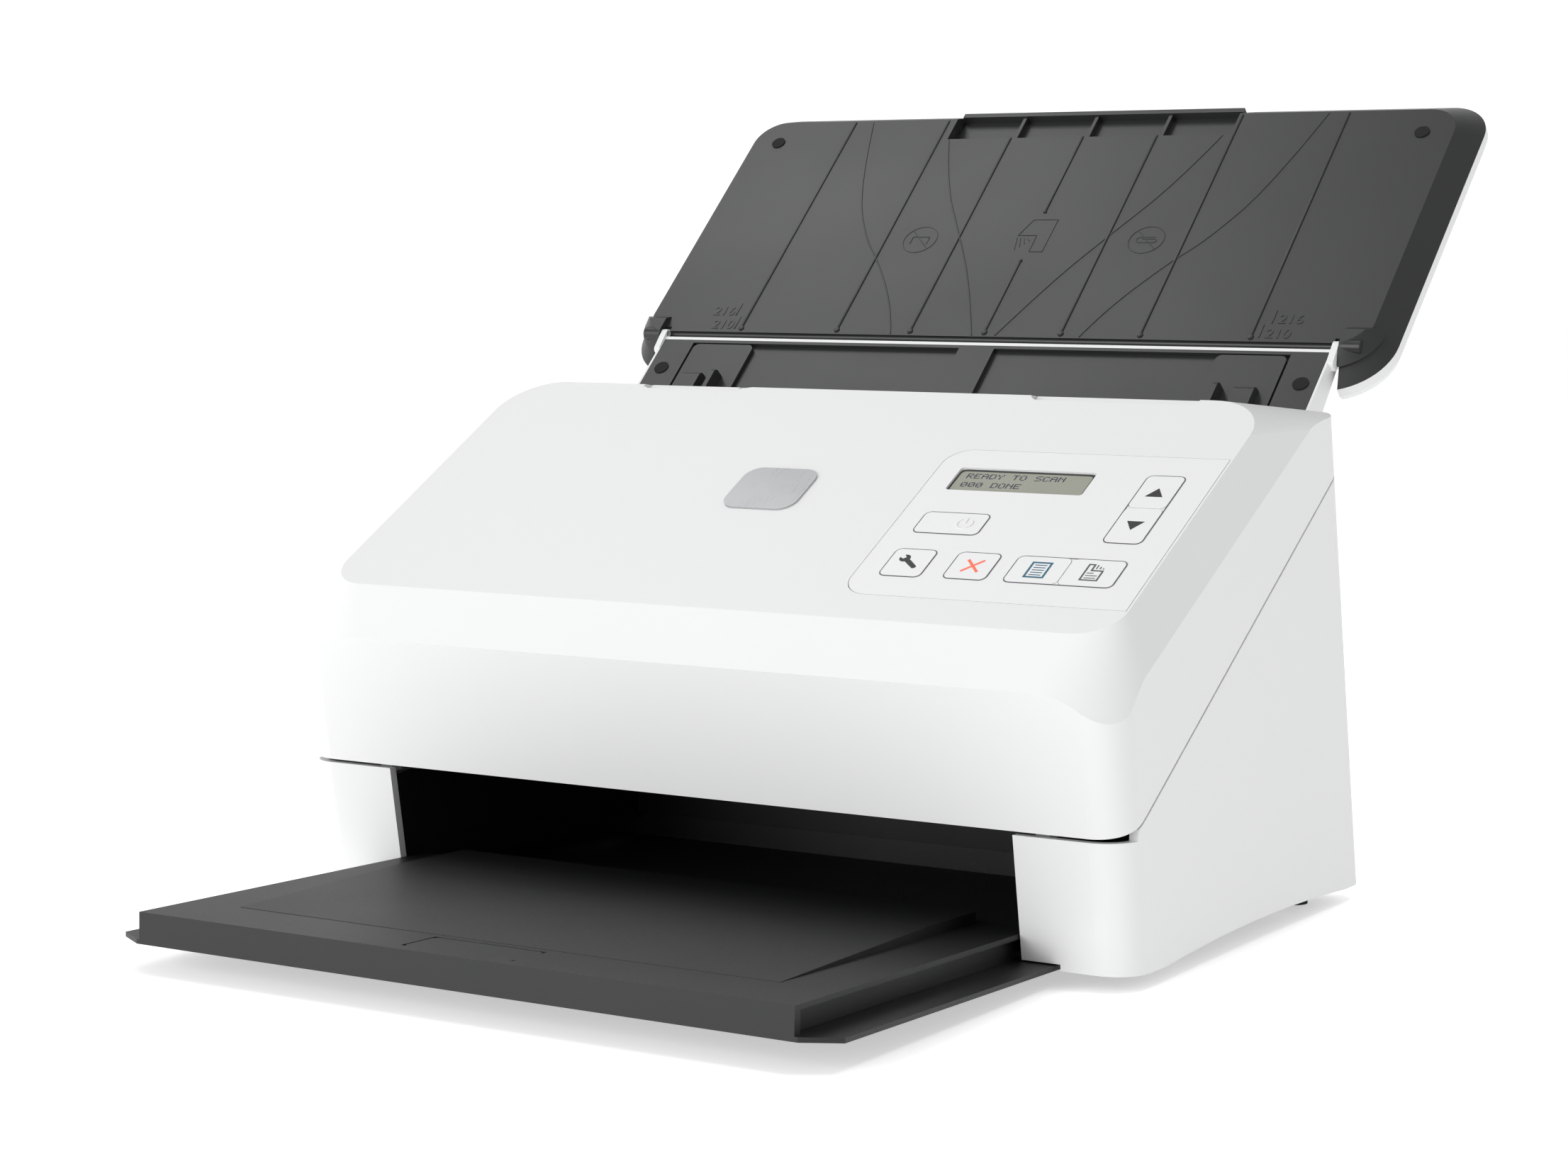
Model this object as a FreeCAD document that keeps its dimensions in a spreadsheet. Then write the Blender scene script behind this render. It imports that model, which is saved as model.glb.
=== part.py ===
import FreeCAD, Part

import math
import os
from types import SimpleNamespace

# Sheet fed document scanner, millimetres, +Z up, front towards -Y, X = 0 the plane of symmetry.
# Depths are measured backwards from the front foot of the housing, which stands at Y = front_y.
DIMENSIONS = {
    "front_y": (-81.40, "Y of the housing's front foot"),
    "half_width": (155.0, "half the width of the housing"),
    "foot_depth": (178.7, "depth of the housing at table height"),
    "front_lean": (0.1695, "forward lean of the front wall, per unit of height"),
    "rear_lean": (0.1825, "forward lean of the rear wall, per unit of height"),
    "front_corner": (12.0, "plan radius of the two front corners"),
    "rear_corner": (8.0, "plan radius of the two rear corners"),
    "wall": (3.0, "wall thickness of the moulded shells"),
    "face_depth": (-3.82, "depth of the lower edge of the slanted face"),
    "face_height": (107.79, "height of the lower edge of the slanted face"),
    "face_tilt": (29.12, "tilt of the slanted face in degrees"),
    "face_half": (148.1, "half the width of the slanted face"),
    "face_length": (131.0, "length of the slanted face"),
    "bevel_deep": (24.0, "depth over which the bevels round the slanted face run"),
    "side_bevel": (0.4545, "sideways growth of the bevel per unit of depth"),
    "front_bevel": (2.011, "forward growth of the front band per unit of depth"),
    "roof_bevel": (1.35, "backward growth of the roof per unit of depth"),
    "face_radius": (14.0, "radius of the slanted face's front corners"),
    "roof_radius": (20.0, "radius of the slanted face's back corners"),
    "roof_end": (8.0, "radius of the roof's ends, at the bottom of the bevel"),
    "split_height": (47.0, "height of the split between hatch and base at the front"),
    "split_corner": (-2.84, "depth where the level and the rising split meet"),
    "split_tilt": (33.53, "tilt of the rising split in degrees"),
    "split_radius": (40.0, "radius between the level and the rising split"),
    "base_gap": (0.5, "distance of the base from the split"),
    "hatch_gap": (0.3, "distance of the hatch from the split"),
    "base_bottom": (5.5, "height of the housing's lower edge"),
    "recess_half": (118.0, "half the width of the output recess"),
    "hatch_pin_depth": (-5.0, "depth of the hatch hinge"),
    "hatch_pin_height": (52.4, "height of the hatch hinge"),
    "pin_radius": (1.5, "radius of the hinge pins"),
    "tray_depth": (187.9, "depth of the input tray's lower edge"),
    "tray_height": (187.21, "height of the input tray's lower edge"),
    "tray_tilt": (43.0, "tilt of the open input tray in degrees"),
    "tray_half": (147.9, "half the width of the tray's flat surface"),
    "tray_length": (121.0, "length of the tray's flat surface"),
    "tray_pivot": (0.4, "depth of the tray's hinge behind its flat surface"),
    "tray_pin": (1.2, "radius of the tray's hinge pins"),
    "tray_rim": (9.0, "depth of the bevel round the tray's surface"),
    "bed_half": (136.0, "half the width of the feed bed"),
    "bed_border": (1.0, "width of the bed frame beside the bed"),
    "bed_thick": (2.5, "thickness of the feed bed"),
    "guide_inner": (95.0, "inner edge of a paper guide at its widest setting"),
    "guide_outer": (121.5, "outer edge of a paper guide at its widest setting"),
    "rack_line": (-32.0, "place along the bed of the pinion between the guides' racks"),
    "hinge_lane": (139.1, "half the width kept free for the tray's hinge lugs"),
    "ear_lift": (2.3, "how far the tray's ears stand in front of its flat surface"),
    "out_front": (-131.0, "depth of the output tray's front edge, pulled out"),
    "out_height": (9.3, "height of the output tray's front lower edge"),
    "out_tilt": (-1.65, "tilt of the output tray in degrees"),
    "out_half": (117.6, "half the width of the output tray's deck"),
    "out_flange": (129.5, "half the width of the output tray's flange"),
    "out_length": (141.0, "length of the output tray"),
    "out_thick": (10.0, "height of the output tray"),
    "shaft_radius": (3.0, "radius of the roller shafts"),
}

doc = FreeCAD.newDocument("SheetScanner")
sheet = doc.addObject("Spreadsheet::Sheet", "Dims")
for row, (alias, (value, note)) in enumerate(DIMENSIONS.items(), start=1):
    sheet.set(f"A{row}", alias)
    sheet.set(f"B{row}", str(value))
    sheet.set(f"C{row}", note)
    sheet.setAlias(f"B{row}", alias)
doc.recompute()
V = SimpleNamespace(**{alias: float(sheet.get(alias)) for alias in DIMENSIONS})

NODES = []
NO_TURN = FreeCAD.Rotation()
ALONG_X = FreeCAD.Rotation(FreeCAD.Vector(0, 1, 0), 90)


# ---------------------------------------------------------------- frames and helpers
def frame(depth, height, tilt=0.0):
    """A placement on the plane of symmetry, turned about X, with local y running backwards."""
    turn = FreeCAD.Rotation(FreeCAD.Vector(1, 0, 0), tilt)
    return FreeCAD.Placement(FreeCAD.Vector(0, V.front_y + depth, height), turn)


def at(base, x=0.0, y=0.0, z=0.0, turn=NO_TURN):
    """A placement moved inside a frame."""
    return base.multiply(FreeCAD.Placement(FreeCAD.Vector(x, y, z), turn))


BODY = frame(0, 0)
FACE = frame(V.face_depth, V.face_height, V.face_tilt)
PATH = frame(V.split_corner, V.split_height, V.split_tilt)
TRAY = frame(V.tray_depth, V.tray_height, V.tray_tilt)
OUT = frame(V.out_front, V.out_height, V.out_tilt)


def bound(feature, prop, size):
    """Sets a size, as an expression on the sheet when it is text."""
    if isinstance(size, str):
        feature.setExpression(prop, size)
    else:
        setattr(feature, prop, size)


def block(name, base, low, size):
    """A box whose lowest corner is low in the frame base."""
    box = doc.addObject("Part::Box", name)
    for prop, length in zip(("Length", "Width", "Height"), size):
        bound(box, prop, length)
    box.Placement = at(base, *low)
    return box


def mirrored_blocks(name, base, low, size):
    """A box on the right and its mirror image on the left, for boxes with a plain width."""
    right = block(name + "_r", base, low, size)
    left = block(name + "_l", base, (-low[0] - size[0], low[1], low[2]), size)
    return [right, left]


def rod(name, base, x, y, z, radius, length):
    """A cylinder along X that starts at x."""
    cylinder = doc.addObject("Part::Cylinder", name)
    bound(cylinder, "Radius", radius)
    bound(cylinder, "Height", length)
    cylinder.Placement = at(base, x, y, z, ALONG_X)
    return cylinder


def post(name, base, x, y, z, radius, length):
    """A cylinder along the frame's own z."""
    cylinder = doc.addObject("Part::Cylinder", name)
    bound(cylinder, "Radius", radius)
    bound(cylinder, "Height", length)
    cylinder.Placement = at(base, x, y, z)
    return cylinder


def cut(name, solid, tools):
    """The first solid without the others."""
    for count, tool in enumerate(tools):
        step = doc.addObject("Part::Cut", f"{name}_cut{count}")
        step.Base = solid
        step.Tool = tool
        solid = step
    return solid


def fuse(name, solids):
    """All the solids as one object."""
    union = doc.addObject("Part::MultiFuse", name)
    union.Shapes = solids
    return union


def common(name, one, other):
    """What two solids share."""
    shared = doc.addObject("Part::Common", name)
    shared.Base = one
    shared.Tool = other
    return shared


def rounded(corners):
    """Lines and arcs of a closed outline; a corner is (u, v) or (u, v, radius)."""
    points = [FreeCAD.Vector(corner[0], corner[1], 0) for corner in corners]
    starts, ends, arcs = [], [], []
    for index, corner in enumerate(corners):
        here = points[index]
        radius = corner[2] if len(corner) > 2 else 0.0
        if not radius:
            starts.append(here)
            ends.append(here)
            arcs.append(None)
            continue
        back = (points[index - 1] - here).normalize()
        ahead = (points[(index + 1) % len(points)] - here).normalize()
        half = back.getAngle(ahead) / 2
        reach = radius / math.tan(half)
        middle = (back + ahead).normalize()
        first = here + back * reach
        last = here + ahead * reach
        centre = here + middle * (radius / math.sin(half))
        arcs.append(Part.Arc(first, centre - middle * radius, last))
        starts.append(first)
        ends.append(last)
    geometry = []
    for index in range(len(points)):
        if arcs[index]:
            geometry.append(arcs[index])
        following = starts[(index + 1) % len(points)]
        if (following - ends[index]).Length > 1e-6:
            geometry.append(Part.LineSegment(ends[index], following))
    return geometry


def rectangle(u0, v0, u1, v1, radius=0.0):
    """Corners of a rectangle with rounded corners."""
    return [(u0, v0, radius), (u1, v0, radius), (u1, v1, radius), (u0, v1, radius)]


def origin_plane(body, role):
    """The origin plane of a body, found by its role."""
    return next(item for item in body.Origin.OriginFeatures if item.Role == role)


def pad(name, base, role, outlines, length, start=0.0, midplane=False):
    """A body whose sketch on an origin plane is padded; more outlines are holes."""
    body = doc.addObject("PartDesign::Body", name)
    sketch = body.newObject("Sketcher::SketchObject", name + "_sketch")
    sketch.AttachmentSupport = (origin_plane(body, role), [""])
    sketch.MapMode = "FlatFace"
    for outline in outlines:
        sketch.addGeometry(rounded(outline), False)
    feature = body.newObject("PartDesign::Pad", name + "_pad")
    feature.Profile = sketch
    bound(feature, "Length", length)
    feature.Midplane = midplane
    shift = {"YZ_Plane": (start, 0, 0), "XY_Plane": (0, 0, start)}[role]
    body.Placement = at(base, *shift)
    doc.recompute()
    return body


def profile(name, base, corners, width, start=None):
    """A side profile in depth and height, padded along X; centred when it has no start."""
    centred = start is None
    return pad(name, base, "YZ_Plane", [corners], width, start=start or 0.0, midplane=centred)


def plate(name, base, outlines, thick, bottom):
    """A flat outline in the frame's x and y, padded along its z from bottom."""
    return pad(name, base, "XY_Plane", outlines, thick, start=bottom)


def round_edges(name, body, radius, chosen):
    """Adds a fillet to a body on the edges that chosen accepts."""
    tip = body.Tip
    names = [f"Edge{i}" for i, edge in enumerate(tip.Shape.Edges, start=1) if chosen(edge)]
    fillet = body.newObject("PartDesign::Fillet", name)
    fillet.Base = (tip, names)
    bound(fillet, "Radius", radius)
    doc.recompute()
    return body


def loft(name, base, sections):
    """A ruled solid between flat outlines, each given with its height in the frame."""
    wires = []
    for count, (corners, height) in enumerate(sections):
        sketch = doc.addObject("Sketcher::SketchObject", f"{name}_section{count}")
        sketch.addGeometry(rounded(corners), False)
        sketch.Placement = at(base, 0, 0, height)
        wires.append(sketch)
    solid = doc.addObject("Part::Loft", name)
    solid.Sections = wires
    solid.Solid = True
    solid.Ruled = True
    return solid


def node(label, feature):
    """Names a finished sub-part."""
    doc.recompute()
    feature.Label = label
    NODES.append(feature)
    return feature


# ---------------------------------------------------------------- outer forms of the housing
def wall_block(name, inset, top=200.0, bottom=-10.0):
    """The housing between its leaning walls, smaller by inset all round."""
    front_step = inset * math.hypot(1, V.front_lean)
    rear_step = inset * math.hypot(1, V.rear_lean)
    front = lambda height: -V.front_lean * height + front_step
    rear = lambda height: V.foot_depth - V.rear_lean * height - rear_step
    corners = [(front(bottom), bottom), (rear(bottom), bottom), (rear(top), top), (front(top), top)]
    body = profile(name, BODY, corners, f"2 * (Dims.half_width - {inset})")
    middle_y = V.foot_depth / 2 - V.rear_lean * top / 2 - V.front_lean * top / 2

    def upright(edge, want_front):
        ends = [vertex.Point for vertex in edge.Vertexes]
        if len(ends) != 2 or abs(ends[0].z - ends[1].z) < top / 2:
            return False
        return ((ends[0].y + ends[1].y) / 2 < middle_y) == want_front

    round_edges(name + "_front", body, V.front_corner - inset, lambda edge: upright(edge, True))
    round_edges(name + "_rear", body, V.rear_corner - inset, lambda edge: upright(edge, False))
    return body


def hatch_form(name, inset):
    """The slanted face with its bevels, over a block that is wider than the walls."""
    half = V.face_half - inset * (math.hypot(1, V.side_bevel) - V.side_bevel)
    front = inset * (math.hypot(1, V.front_bevel) - V.front_bevel)
    back = V.face_length - inset * (math.hypot(1, V.roof_bevel) - V.roof_bevel)
    drop = V.bevel_deep - inset
    wide = half + V.side_bevel * drop
    foot, end = front - V.front_bevel * drop, back + V.roof_bevel * drop
    ahead, behind, last = V.face_radius, V.roof_radius, V.roof_end - inset
    top = [(-half, front, ahead), (half, front, ahead), (half, back, behind), (-half, back, behind)]
    ahead += 1.3 * drop
    low = [(-wide, foot, ahead), (wide, foot, ahead), (wide, end, last), (-wide, end, last)]
    crown = loft(name + "_crown", FACE, [(low, -V.bevel_deep), (top, -inset)])
    reach = wide + 10
    rest = block(name + "_rest", FACE, (-reach, -120, -V.bevel_deep - 220), (2 * reach, 300, 220))
    return fuse(name, [crown, rest])


def above_split(name, offset):
    """Everything above the split between base and hatch, moved up by offset."""
    slope = math.tan(math.radians(V.split_tilt))
    shift = offset * math.tan(math.radians(V.split_tilt / 2))
    corner = (V.split_corner - shift, V.split_height + offset)
    far = 260.0
    end = (far, corner[1] + slope * (far - corner[0]))
    outline = [(-80, corner[1]), (*corner, V.split_radius - offset), end, (far, 300), (-80, 300)]
    return profile(name, BODY, outline, 400.0)


# ---------------------------------------------------------------- base
def build_base():
    """The fixed lower part: housing, floor, feet, tunnel, chassis and electronics."""
    shell = cut("base_outer", wall_block("base_walls", 0.0), [above_split("base_split", -V.base_gap)])
    hollow = wall_block("base_hollow", V.wall)
    below = block("base_below", BODY, (-200, -60, -20), (400, 300, V.base_bottom + 20))
    arch_half, arch_rise = 70.0, 2.5
    arch_radius = (arch_half ** 2 + arch_rise ** 2) / (2 * arch_rise)
    arch = rod("base_arch", BODY, -200, 92, V.base_bottom + arch_rise - arch_radius, arch_radius, 400)
    mouth = block("base_mouth", BODY, (-V.recess_half, -40, -10), ("2 * Dims.recess_half", 60, 80))
    flange_way = block("base_flange_way", BODY, (-131, -40, -10), (262, 60, 17.6))
    trim = block("base_trim", BODY, (-200, -60, 46.7), (400, 62, 60))
    bed_seat = block("base_bed_seat", BODY, (-141.2, 135, 143.0), (282.4, 40, 60))
    sockets = [
        block("base_dc_window", BODY, (-92.5, 150, 26.5), (14, 40, 14)),
        block("base_usb_window", BODY, (-60.5, 150, 27.5), (13, 40, 12)),
        block("base_lock_slot", BODY, (118.5, 150, 30), (7, 40, 3)),
    ]
    tube = cut("base_tube", shell, [hollow, below, arch, mouth, flange_way, trim, bed_seat] + sockets)
    ears = []
    for side, start in (("right", 122.4), ("left", -127.1)):
        neck = [(-5.5, 34), (3.8, 34), (3.8, 54.4), (-5, 54.4), (-7, 54.4, 1.9), (-7, 50.4, 1.9),
                (-1.2, 50.4), (-1.2, 45.5), (-5.5, 45.5)]
        ears.append(profile(f"base_ear_{side}", BODY, neck, 4.7, start))
    whole = fuse("base_whole", [tube] + ears)
    pin_hole = rod("base_pin_hole", BODY, -131.5, V.hatch_pin_depth, V.hatch_pin_height,
                   "Dims.pin_radius", 263)
    node("base_housing", cut("base_housing", whole, [pin_hole]))

    outer = [(-151.2, 24), (-131.6, 24), (-131.6, 143), (131.6, 143), (131.6, 24), (151.2, 24),
             (151.2, 168, 5), (-151.2, 168, 5)]
    floor = plate("floor_blank", BODY, [outer], 2.0, 8.2)
    screw_spots = [(x, y) for x in (-141, 141) for y in (45, 135)]
    holes = [post(f"floor_hole{i}", BODY, x, y, 0, 1.7, 20) for i, (x, y) in enumerate(screw_spots)]
    pan = plate("floor_pan", OUT, [rectangle(-132.4, 143, 132.4, 274.4)], 0.8, -1.1)
    rails = mirrored_blocks("pan_rail", OUT, (131.6, 160, -1.1), (0.8, 114, 8.7))
    riser = block("pan_riser", OUT, (-132.4, 273.6, -1.1), (264.8, 0.8, 9.2))
    node("floor_plate", cut("floor_plate_cut", fuse("floor_whole", [floor, pan, riser] + rails), holes))
    screws = []
    for index, (x, y) in enumerate(screw_spots):
        screws.append(post(f"screw_head{index}", BODY, x, y, 6.6, 3.0, 1.6))
        screws.append(post(f"screw_body{index}", BODY, x, y, 8.2, 1.6, 8))
    node("case_screws", fuse("case_screws", screws))
    feet = [post(f"foot{i}", BODY, x, y, 0, 4.8, 8.2)
            for i, (x, y) in enumerate((x, y) for x in (-138.2, 138.2) for y in (32.5, 157))]
    node("rubber_feet", fuse("rubber_feet", feet))

    cheek = [(1.8, 8.4), (141.0, 8.4), (141.0, 44.4), (-4.3, 44.4)]
    sides = [profile(f"tunnel_side{i}", BODY, cheek, 2.2, start)
             for i, start in enumerate((V.recess_half + 0.2, -V.recess_half - 2.4))]
    back = block("tunnel_back", BODY, (-118.2, 139.6, 10.5), (236.4, 2, 33.9))
    roof = block("tunnel_roof", BODY, (-118.2, 52, 42.4), (236.4, 89.6, 2))
    chute = profile("tunnel_chute", BODY, [(25.5, 60.5), (27.4, 61.7), (55, 43.4), (52, 42.4)], 236.4)
    node("exit_tunnel", fuse("exit_tunnel", sides + [back, roof, chute]))

    spans = [(119.4, 131.0), (-131.0, -119.4)]
    pins = [rod(f"hatch_pin{i}", BODY, low, V.hatch_pin_depth, V.hatch_pin_height, "Dims.pin_radius",
                high - low) for i, (low, high) in enumerate(spans)]
    node("hatch_hinge_pins", fuse("hatch_hinge_pins", pins))


def build_bed():
    """The bed frame, the feed bed with its pockets, the hook and the paper guides."""
    half = V.bed_half + V.bed_border
    slope = math.radians(V.tray_tilt)
    local = lambda t, n: (V.tray_depth + t * math.cos(slope) + n * math.sin(slope),
                          V.tray_height + t * math.sin(slope) - n * math.cos(slope))
    outline = [local(-1.9, 0), (*local(-1.9, 7), 2.0), (154.2, 137.0), (152.95, 143.2), (149.5, 143.2),
               local(-68, 6), local(-68, 0)]
    slab = profile("frame_slab", BODY, outline, 2 * half)
    pocket = block("frame_pocket", TRAY, (-136.15, -80, -V.bed_thick - 0.05), (272.3, 76.7, 10))
    channel = block("frame_channel", TRAY, (-124, V.rack_line - 8.05, -7.4), (248, 16, 5.5))
    lugs = []
    for side, start in (("right", half - 0.6), ("left", -half - 1.8)):
        stadium = [(-9, -4.6, 1.5), (1.9, -2.3, 1.89), (1.9, 1.5, 1.89), (-9, 0.2, 1.5)]
        lugs.append(profile(f"lug_{side}", TRAY, stadium, 2.4, start))
    pin_hole = rod("lug_hole", TRAY, -150, 0, -V.tray_pivot, "Dims.tray_pin", 300)
    node("bed_frame", cut("bed_frame", fuse("frame_whole", [slab] + lugs), [pocket, channel, pin_hole]))

    bed = block("bed_plate", TRAY, (-V.bed_half, -66, -V.bed_thick), ("2 * Dims.bed_half", 62.7,
                                                                      "Dims.bed_thick"))
    pockets, slots = [], []
    for side, sign in (("r", 1), ("l", -1)):
        low = 7.2 if sign > 0 else -122.4
        pockets.append(block(f"bed_pocket_{side}", TRAY, (low, -60, -1.6), (115.2, 55.2, 4)))
        low = 10 if sign > 0 else -116
        slots.append(block(f"bed_slot_{side}", TRAY, (low, V.rack_line - 1.95, -6), (106, 4.4, 10)))
    node("feed_bed", cut("feed_bed", bed, pockets + slots))

    pads = [post(f"bed_pad{i}", TRAY, x, -18.6, 0.0, 2.9, 0.35) for i, x in enumerate((-130.4, 130.4))]
    node("bed_bumpers", fuse("bed_bumpers", pads))

    for side, sign in (("left", -1), ("right", 1)):
        inner, outer = sorted((sign * V.guide_inner, sign * V.guide_outer))
        outline = rectangle(inner, -46, outer, -5.4, 2.4)
        base_plate = plate(f"guide_{side}_plate", TRAY, [outline], 1.2, -1.3)
        fins = []
        walls = ((101.4, 1.8, -22.2, 5.2), (108.6, 7.8, -22.6, 3.6))
        for part, (start, width, tip, rise) in enumerate(walls):
            low = start if sign > 0 else -start - width
            fin = [(-46, -0.4), (tip, -0.4), (tip - 0.6, rise, 2.4), (-46, rise, 1)]
            fins.append(profile(f"guide_{side}_fin{part}", TRAY, fin, width, low))
        leg_low = 103.0 if sign > 0 else -107.0
        leg = block(f"guide_{side}_leg", TRAY, (leg_low, V.rack_line - 1.55, -4.9), (4, 3.6, 4))
        rack_low = -107.0 if sign < 0 else -0.5
        rack_t = V.rack_line + (-7.05 if sign < 0 else 4.05)
        rack = block(f"guide_{side}_rack", TRAY, (rack_low, rack_t, -6.9), (107.5, 3.0, 2.2))
        link_t = V.rack_line + (-7.05 if sign < 0 else -0.95)
        link = block(f"guide_{side}_link", TRAY, (leg_low, link_t, -6.9), (4, 8.0, 2.2))
        node(f"paper_guide_{side}", fuse(f"guide_{side}", [base_plate, leg, link, rack] + fins))

    pinion = plate("guide_pinion", TRAY, [gear_outline(0, V.rack_line, 3.2, 3.75, 12)], 2.2, -6.9)
    node("guide_pinion", pinion)
    tray_pins = [rod(f"tray_pin{i}", TRAY, low, 0, -V.tray_pivot, "Dims.tray_pin", 8.2)
                 for i, low in enumerate((137.2, -145.4))]
    node("tray_hinge_pins", fuse("tray_hinge_pins", tray_pins))
    arm = [(168.5, 165), (171.5, 169), (179.4, 174.7, 1.2), (185.2, 168.2), (186.5, 165)]
    node("tray_latch", profile("tray_latch", BODY, arm, 1.6, -half - 1.6))


def gear_outline(x, y, root, tip, teeth):
    """Corners of a small straight-sided gear about (x, y)."""
    corners = []
    for tooth in range(teeth):
        for radius, part in ((root, -0.28), (tip, -0.12), (tip, 0.12), (root, 0.28)):
            angle = 2 * math.pi * (tooth + part) / teeth
            corners.append((x + radius * math.cos(angle), y + radius * math.sin(angle)))
    return corners


# ---------------------------------------------------------------- paper path and drive
GUIDE_HALF = 137.0
FEED_U, DRIVE_U, EXIT_U = 152.0, 126.0, 46.0
LOWER_SCAN_U, UPPER_SCAN_U = 76.0, 96.0
PATH_START, PATH_END = 32.0, 164.5


def roller_set(name, base, u, w, radius, spans, shaft_half, tyre_gap=0.0):
    """A shaft along X with tyres on it, as two nodes."""
    shaft = rod(f"{name}_core", base, -shaft_half, u, w, "Dims.shaft_radius", 2 * shaft_half)
    tyres = []
    for index, (low, high) in enumerate(spans):
        ring = rod(f"{name}_tyre{index}", base, low, u, w, radius, high - low)
        bore = rod(f"{name}_bore{index}", base, low - 1, u, w, V.shaft_radius + tyre_gap, high - low + 2)
        tyres.append(cut(f"{name}_ring{index}", ring, [bore]))
    return shaft, fuse(f"{name}_tyres", tyres)


def belt(name, base, lane, width, first, second):
    """A closed belt in a lane along X round two pulleys, each given as (u, w, radius)."""
    thick = 1.0
    (u1, w1, r1), (u2, w2, r2) = first, second
    span = math.hypot(u2 - u1, w2 - w1)
    heading = math.atan2(w2 - w1, u2 - u1)
    swing = math.acos((r1 - r2) / span)

    def loop(extra):
        points = []
        for (u, w, r), order in (((u1, w1, r1), (swing, math.pi, -swing)),
                                 ((u2, w2, r2), (-swing, 0.0, swing))):
            for turn in order:
                angle = heading + turn
                points.append(FreeCAD.Vector(0, u + (r + extra) * math.cos(angle),
                                             w + (r + extra) * math.sin(angle)))
        edges = [Part.Arc(*points[0:3]).toShape(), Part.LineSegment(points[2], points[3]).toShape(),
                 Part.Arc(*points[3:6]).toShape(), Part.LineSegment(points[5], points[0]).toShape()]
        face = Part.Face(Part.Wire(edges))
        return face.extrude(FreeCAD.Vector(width, 0, 0))

    solid = doc.addObject("Part::Feature", name)
    solid.Shape = loop(0.3 + thick).cut(loop(0.3))
    solid.Placement = at(base, lane, 0, 0)
    return solid


def build_drive():
    """Rollers, belts, motor, side frames, scan bars and the lower paper guide."""
    rollers = {
        "feed_roller": (FEED_U, -12.6, 11.6, [(-31, -9), (9, 31)]),
        "drive_roller": (DRIVE_U, -9.6, 8.6, [(-88, -68), (-40, -20), (20, 40), (68, 88)]),
        "exit_roller": (EXIT_U, -9.6, 8.6, [(-88, -68), (-40, -20), (20, 40), (68, 88)]),
    }
    windows = []
    for name, (u, w, radius, spans) in rollers.items():
        shaft, tyres = roller_set(name, PATH, u, w, radius, spans, 140.5)
        pulley_radius = {"feed_roller": 8.0, "drive_roller": 6.0, "exit_roller": 6.0}[name]
        lanes = {"feed_roller": [-143.4], "drive_roller": [-143.4, -146.6, -149.8],
                 "exit_roller": [-146.6]}[name]
        pulleys = [rod(f"{name}_pulley{i}", PATH, lane, u, w, pulley_radius, 2.6)
                   for i, lane in enumerate(lanes)]
        reach = -lanes[-1] - 140.5
        stub = rod(f"{name}_stub", PATH, -140.5 - reach, u, w, "Dims.shaft_radius", reach)
        node(f"{name}_shaft", fuse(f"{name}_axle", [shaft, stub] + pulleys))
        node(f"{name}_tyres", tyres)
        for index, (low, high) in enumerate(spans):
            windows.append(block(f"{name}_window{index}", PATH, (low - 1, u - radius, -6),
                                 (high - low + 2, 2 * radius, 12)))

    motor_u, motor_w = 112.0, -42.0
    can = rod("motor_can", PATH, -136.0, motor_u, motor_w, 17.0, 34)
    flange = block("motor_flange", PATH, (-137.8, motor_u - 20, motor_w - 20), (1.8, 40, 40))
    motor_hole = rod("motor_hole", PATH, -150, motor_u, motor_w, 2.0, 30)
    node("drive_motor", cut("drive_motor", fuse("motor_case", [can, flange]), [motor_hole]))
    spindle = rod("motor_spindle", PATH, -149.8, motor_u, motor_w, 1.9, 24)
    pinion = rod("motor_wheel", PATH, -149.8, motor_u, motor_w, 4.0, 2.6)
    node("motor_pulley", fuse("motor_rotor", [spindle, pinion]))

    drive = (DRIVE_U, -9.6, 6.0)
    node("motor_belt", belt("motor_belt", PATH, -149.8, 2.6, (motor_u, motor_w, 4.0), drive))
    node("feed_belt", belt("feed_belt", PATH, -143.4, 2.6, drive, (FEED_U, -12.6, 8.0)))
    node("exit_belt", belt("exit_belt", PATH, -146.6, 2.6, (EXIT_U, -9.6, 6.0), drive))

    guide = block("lower_guide_plate", PATH, (-GUIDE_HALF, PATH_START, -3.0),
                  (2 * GUIDE_HALF, PATH_END - PATH_START, 2.0))
    scan_window = block("lower_scan_window", PATH, (-113.2, LOWER_SCAN_U - 9.2, -6), (226.4, 18.4, 12))
    node("lower_paper_guide", cut("lower_paper_guide", guide, windows + [scan_window]))
    bar = block("lower_scan_bar", PATH, (-113, LOWER_SCAN_U - 9, -14), (226, 18, 12.0))
    glass = block("lower_scan_glass", PATH, (-113, LOWER_SCAN_U - 9, -2.0), (226, 18, 1.2))
    node("lower_scan_bar", bar)
    node("lower_scan_glass", glass)

    side = [(PATH_START, -1.2), (PATH_START, -22), (60, -30), (88, -64), (140, -64, 6),
            (PATH_END + 6, -22), (PATH_END, -1.2)]
    for name, start in (("side_frame_left", -139.8), ("side_frame_right", 138.0)):
        sheet_metal = profile(name + "_blank", PATH, side, 1.8, start)
        holes = [rod(f"{name}_hole{i}", PATH, start - 2, u, w, V.shaft_radius + 0.06, 6)
                 for i, (u, w, _, _) in enumerate(rollers.values())]
        if start < 0:
            holes.append(rod(f"{name}_motor", PATH, start - 2, motor_u, motor_w, 6.0, 6))
        node(name, cut(name + "_drilled", sheet_metal, holes))


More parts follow.
